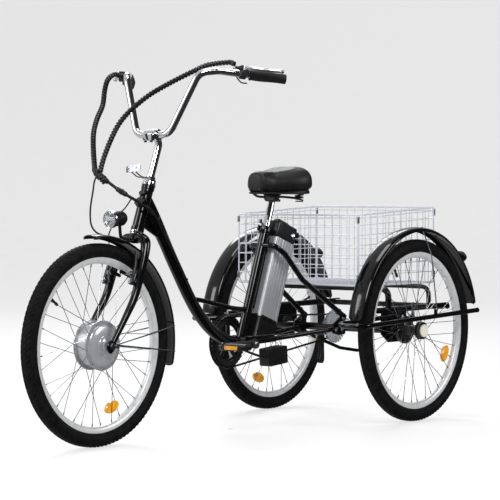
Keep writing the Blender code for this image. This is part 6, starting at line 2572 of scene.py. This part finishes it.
@dataclass
class Cables:
    """Every held cable: its jacket and, on the bundles, a ribbon wound round as a helix."""

    left_bundle: tuple = (
        (0.214, -0.228, 1.150), (0.192, -0.232, 1.156), (0.144, -0.275, 1.147), (0.114, -0.310, 1.126),
        (0.060, -0.350, 1.092), (0.002, -0.385, 1.053), (-0.040, -0.420, 1.007), (-0.063, -0.445, 0.967),
        (-0.072, -0.475, 0.913), (-0.075, -0.505, 0.850), (-0.068, -0.518, 0.812), (-0.036, -0.505, 0.781),
        (0.010, -0.488, 0.750), (0.034, -0.462, 0.730),
    )
    ribbon_pitch: float = 0.0105
    ribbon_step: float = 0.0008
    ribbon_gap: float = 0.22
    ribbon_edge: float = 0.12
    wrap_core: float = 0.0056
    wrap_outer: float = 0.0084
    right_bundle: tuple = (
        (-0.214, -0.262, 1.124), (-0.216, -0.300, 1.130), (-0.214, -0.333, 1.112), (-0.206, -0.356, 1.078),
        (-0.192, -0.380, 1.030), (-0.172, -0.425, 0.988), (-0.152, -0.461, 0.950), (-0.130, -0.488, 0.912),
        (-0.104, -0.512, 0.859), (-0.082, -0.526, 0.818), (-0.050, -0.522, 0.788),
    )
    front_brake: tuple = (
        (-0.066, -0.538, 0.812), (-0.054, -0.563, 0.790), (-0.050, -0.573, 0.762), (-0.054, -0.580, 0.708),
        (-0.055, -0.576, 0.663), (-0.050, -0.560, 0.639), (-0.040, -0.542, 0.630),
    )
    loom: tuple = (
        (0.033, -0.425, 0.718), (0.0290, -0.385, 0.690), (0.0250, -0.331, 0.628), (0.0245, -0.261, 0.531),
        (0.0245, -0.184, 0.420), (0.0245, -0.126, 0.355), (0.0245, -0.066, 0.306), (0.0290, 0.010, 0.268),
        (0.0330, 0.090, 0.240), (0.0300, 0.150, 0.226), (0.0150, 0.1965, 0.222),
    )

    def build(self) -> None:
        """Makes each cable, the wound ribbons, the connectors and the brake's curved guide."""
        left = catmull(LAYOUT.route(self.left_bundle), 200)
        right = catmull(LAYOUT.route(self.right_bundle), 140)
        brake = catmull(LAYOUT.route(self.front_brake), 80)
        loom = catmull(LAYOUT.route(self.loom), 120)
        piece(
            "left_cable_wrap", self.wound(left[:150], self.wrap_core, self.wrap_outer), WRAP, "steering",
            ["left_cable_bundle"]
        )
        piece(
            "right_cable_wrap", self.wound(
                right, self.wrap_core, self.wrap_outer
            ), WRAP, "steering", ["front_brake_cable"]
        )
        strands = sweep(left[146:], 0.0048, 14) + sweep(brake, 0.0027, 12) + self.loop_lead()
        piece("steering_cable_strands", strands, JACKET, "steering")
        piece("loom_jacket", sweep(loom, 0.0040, 14) + self.ties(loom), JACKET, "frame", ["cable_loom"])
        crossing = self.crossing(left[-4], loom[12])
        strand = piece("steering_crossing_cables", crossing, JACKET, "", ())
        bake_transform(strand)
        piece("cable_connectors", self.connectors(left, right), PLASTIC, "steering")
        piece("brake_noodle", self.noodle(), ZINC, "left_front_brake_arm")

    def wound(self, path: Array, core: float, outer: float) -> Shape:
        """A cable with a flat ribbon round it, whose angle grows with the length along the path.

        Args:
            path: the cable's middle line.
            core: the radius between the ribbon's turns.
            outer: the radius over the ribbon.

        Returns:
            The wound cable.
        """
        length = np.concatenate([[0], np.cumsum(np.linalg.norm(np.diff(path, axis=0), axis=1))])
        run = np.linspace(0, length[-1], int(length[-1] / self.ribbon_step))
        centre = np.column_stack([np.interp(run, length, path[:, k]) for k in range(3)])
        tangent = np.gradient(centre, axis=0)
        tangent /= np.linalg.norm(tangent, axis=1)[:, None]
        side = np.cross(tangent, X_AXIS + 0.3 * Z_AXIS)
        side /= np.linalg.norm(side, axis=1)[:, None]
        other = np.cross(tangent, side)
        angle = np.linspace(0, 2 * pi, 14, endpoint=False)
        phase = (run[:, None] / self.ribbon_pitch + angle[None] / (2 * pi)) % 1.0
        edge = np.abs(phase - 0.5) * 2
        size = core + (outer - core) * np.clip((edge - self.ribbon_gap) / self.ribbon_edge, 0, 1)
        rows = centre[:, None] + size[..., None] * (
            np.cos(angle)[None, :, None] * side[:, None] + np.sin(angle)[None, :, None] * other[:, None]
        )
        return skin(rows)

    @staticmethod
    def ties(path: Array) -> Shape:
        """Thin straps that hold the loom against the tube at even spaces.

        Args:
            path: the cable's middle line.

        Returns:
            The ties.
        """
        marks = []
        for index in range(24, len(path) - 20, 16):
            along = path[index + 1] - path[index]
            place = aimed(path[index], along)
            ring = [(0.0040, -0.0018), (0.0050, -0.0018), (0.0050, 0.0018), (0.0040, 0.0018)]
            marks.append(lathe(ring, place, 18, ring=True))
            marks.append(soft_box((0.006, 0.005, 0.005), 0.001, 0.0008, 3).moved(place @ shift(0.0050)))
        return union(marks)

    @staticmethod
    def loop_lead() -> Shape:
        """Two thin leads: one that loops under the bar beside the left clamp, and the lamp's own.

        Returns:
            The lead.
        """
        left = [
            (0.205, -0.222, 1.140), (0.207, -0.215, 1.118), (0.222, -0.208, 1.096), (0.240, -0.200, 1.092)
        ]
        lamp = [
            (0.020, -0.475, 0.744), (0.014, -0.500, 0.712), (-0.004, -0.510, 0.690), (0.000, -0.492, 0.684)
        ]
        return union([sweep(catmull(LAYOUT.route(route), 40), 0.0021, 10) for route in (left, lamp)])

    def crossing(self, start: Array, end: Array) -> Shape:
        """Two strands that sag from the moving bundle across the head tube to the loom.

        Args:
            start: its end on the steering.
            end: its end on the frame.

        Returns:
            The two cables.
        """
        strands = []
        for bulge, radius in ((0.010, 0.0040), (0.016, 0.0030)):
            middle = (start + end) / 2 + np.array([bulge, 0.000, -0.004])
            strands.append(sweep(catmull([start, middle, end], 48), radius, 14))
        return union(strands)

    @staticmethod
    def connectors(left: Array, right: Array) -> Shape:
        """Moulded plugs on the bundles near their lower ends.

        Args:
            left: the left bundle's middle line.
            right: the right bundle's middle line.

        Returns:
            The connectors.
        """
        parts = []
        profile = [
            (0, -0.021), (0.0052, -0.020), (0.0080, -0.015), (0.0084, -0.002), (0.0094, -0.002),
            (0.0094, 0.003)
        ]
        profile += [(0.0080, 0.004), (0.0078, 0.017), (0.0052, 0.021), (0, 0.022)]
        for path, index in ((left, 158), (left, 178), (right, 126)):
            place = aimed(path[index], path[index + 1] - path[index])
            parts.append(lathe(profile, place, 20))
        return union(parts)

    @staticmethod
    def noodle() -> Shape:
        """The curved guide that leads the brake's inner wire between the arms, and the wire itself.

        Returns:
            The curved guide.
        """
        head = LAYOUT.head
        points = [
            (-0.030, -0.070, 0.020), (-0.052, -0.062, -0.030), (-0.050, -0.048, -0.064),
            (-0.030, -0.042, -0.0735)
        ]
        guide = sweep(catmull(points, 30), 0.0026, 12).moved(head)
        wire = rods(
            np.array([[-0.034, -0.042, -0.0735]]), np.array([[0.040, -0.030, -0.0735]]), 0.0009, 8
        ).moved(head)
        return guide + wire


# Stage


@dataclass
class Studio:
    """A pale floor, soft lights and the camera."""

    azimuth: float = 39.008
    elevation: float = 1.425
    roll: float = 0.203
    stand: tuple[float, float, float] = (4.1596, -5.0376, 0.7388)
    lens: float = 146.61
    dark_side: float = 160.0
    floor_flat: float = 8.0
    floor_edge: float = 15.0
    floor_rise: float = 0.12
    floor_sides: int = 96

    def build(self) -> None:
        """Sets the stage."""
        self.floor()
        self.world()
        self.lamp("key_light", (4.0, -3.4, 4.4), (2.0, 2.0), 170.0)
        self.lamp("fill_light", (4.8, 2.8, 3.0), (2.6, 1.6), 90.0)
        self.lamp("front_light", (-3.0, -5.0, 3.4), (2.2, 2.2), 110.0)
        self.lamp("back_light", (-3.5, 3.5, 4.0), (3.0, 2.0), 100.0)
        self.lamp("top_light", (0.0, 0.3, 5.0), (2.0, 2.0), 70.0)
        self.camera()
        bpy.context.scene.view_settings.view_transform = "Standard"

    def floor(self) -> None:
        """A large disc whose height rises with the square of the distance beyond a flat middle."""
        rising = np.linspace(self.floor_flat + 0.5, self.floor_edge, 16)
        radius = np.concatenate([np.linspace(0.01, self.floor_flat, 12), rising])
        angle = np.linspace(0, 2 * pi, self.floor_sides, endpoint=False)
        rows = np.empty((len(radius), self.floor_sides, 3))
        rows[:, :, 0] = radius[:, None] * np.cos(angle)
        rows[:, :, 1] = radius[:, None] * np.sin(angle)
        rows[:, :, 2] = (np.clip(radius - self.floor_flat, 0, None) ** 2 * self.floor_rise)[:, None]
        index = np.arange(rows.shape[0] * self.floor_sides).reshape(-1, self.floor_sides)
        quads = np.stack([index[:-1], index[1:], np.roll(index[1:], -1, 1), np.roll(index[:-1], -1, 1)], -1)
        mesh = bpy.data.meshes.new("studio_floor")
        faces = quads.reshape(-1, 4)[:, ::-1].tolist() + [index[0].tolist()]
        mesh.from_pydata(rows.reshape(-1, 3).tolist(), [], faces)
        mesh.shade_smooth()
        mesh.materials.append(
            Finish(
                "pale_floor", "", (0.30, 0.30, 0.30), 0.60, Grain.MOULDED, tint=0.01, grain_size=0.02,
                glow=0.64
            ).material()
        )
        floor = bpy.data.objects.new("studio_floor", mesh)
        bpy.context.scene.collection.objects.link(floor)
        floor.visible_glossy = False

    def world(self) -> None:
        """A surround that is dark on one side and white on the other, which gives the metal its contrast."""
        world = bpy.data.worlds.new("studio_air")
        world.use_nodes = True
        nodes, links = world.node_tree.nodes, world.node_tree.links
        place = nodes.new("ShaderNodeTexCoord")
        aim = nodes.new("ShaderNodeMapping")
        aim.inputs["Rotation"].default_value = (0.0, 0.0, radians(self.dark_side))
        aim.inputs["Location"].default_value = (0.5, 0.0, 0.0)
        aim.inputs["Scale"].default_value = (0.5, 0.5, 0.5)
        slope = nodes.new("ShaderNodeTexGradient")
        ramp = nodes.new("ShaderNodeValToRGB")
        ramp.color_ramp.elements[0].position = 0.44
        ramp.color_ramp.elements[0].color = (0.05, 0.05, 0.055, 1.0)
        ramp.color_ramp.elements[1].position = 0.60
        ramp.color_ramp.elements[1].color = (0.85, 0.86, 0.88, 1.0)
        links.new(place.outputs["Generated"], aim.inputs["Vector"])
        links.new(aim.outputs["Vector"], slope.inputs["Vector"])
        links.new(slope.outputs["Color"], ramp.inputs["Fac"])
        links.new(ramp.outputs["Color"], nodes["Background"].inputs["Color"])
        nodes["Background"].inputs["Strength"].default_value = 0.70
        bpy.context.scene.world = world

    def lamp(self, name: str, spot: Row, size: Row, power: float) -> None:
        """A rectangular light that faces the tricycle's middle.

        Args:
            name: the light's name.
            spot: where it stands.
            size: its width and height.
            power: its power in watts.
        """
        light = bpy.data.lights.new(name, "AREA")
        light.shape = "RECTANGLE"
        light.size, light.size_y = size
        light.energy = power
        lamp = bpy.data.objects.new(name, light)
        facing = np.array(spot, float) - np.array([0.0, 0.0, 0.5])
        lamp.matrix_world = Matrix(aimed(spot, facing).tolist())
        bpy.context.scene.collection.objects.link(lamp)

    def camera(self) -> None:
        """A camera looking along its azimuth and elevation, turned a little about its own line of sight."""
        a, e, r = radians(self.azimuth), radians(self.elevation), radians(self.roll)
        back = np.array([sin(a) * cos(e), -cos(a) * cos(e), sin(e)])
        place = frame_at(self.stand, np.cross(Z_AXIS, back), back) @ turn("Z", r)
        data = bpy.data.cameras.new("studio_camera")
        data.lens = self.lens
        data.sensor_width = 36.0
        data.clip_end = 60.0
        data.dof.use_dof = False
        camera = bpy.data.objects.new("studio_camera", data)
        camera.matrix_world = Matrix(place.tolist())
        bpy.context.scene.collection.objects.link(camera)
        bpy.context.scene.camera = camera


def build_tricycle() -> None:
    """Builds every sub-assembly in order."""
    spots = {name: LAYOUT.spot(name) for name in ("front_wheel_spin", "left_wheel_spin")}
    MainFrame().build()
    Carriage().build()
    Basket().build()
    Drive().build()
    front = Wheel(
        "front", "front_wheel", spots["front_wheel_spin"], "front_tyre", "front_rim", 0.0705,
        (-0.0232, 0.0232), 0.42
    )
    front.build()
    HubMotor(spots["front_wheel_spin"]).build()
    left = spots["left_wheel_spin"]
    right = left * np.array([-1, 1, 1])
    rear = (("left", "left_rear_wheel", left, 1), ("right", "driven_axle", right, -1))
    for name, body, centre, side in rear:
        flanges = (-0.0295, 0.0195) if side > 0 else (-0.0195, 0.0295)
        marks = {"valve_angle": 120.0, "reflector_angle": -26.0}
        if side < 0:
            marks = {"valve_angle": 20.0, "reflector_angle": -109.0}
        wheel = Wheel(name, body, centre, name + "_tyre", name + "_wheel", 0.0260, flanges, 0.95, **marks)
        wheel.build()
        RearHub(name, body, centre, side).build()
        shell, node = name + "_fender_shell", name + "_rear_fender"
        Fender(shell, node, "frame", centre, 0.3455, 0.0130, 0.0320, 172.0, 13.0).build()
        TailLight(name + "_tail_light", name + "_tail_light", centre).build()
    Fork().build()
    Cockpit().build()
    FrontDress().build()
    Saddle().build()
    PowerPack().build()
    Cables().build()


def main() -> None:
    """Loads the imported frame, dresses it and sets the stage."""
    logging.basicConfig(level=logging.INFO, format="%(message)s")
    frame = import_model()
    LAYOUT.joints.update({joint["name"]: joint for joint in frame["joints"]})
    Studio().build()
    build_tricycle()


if __name__ == "__main__":
    main()
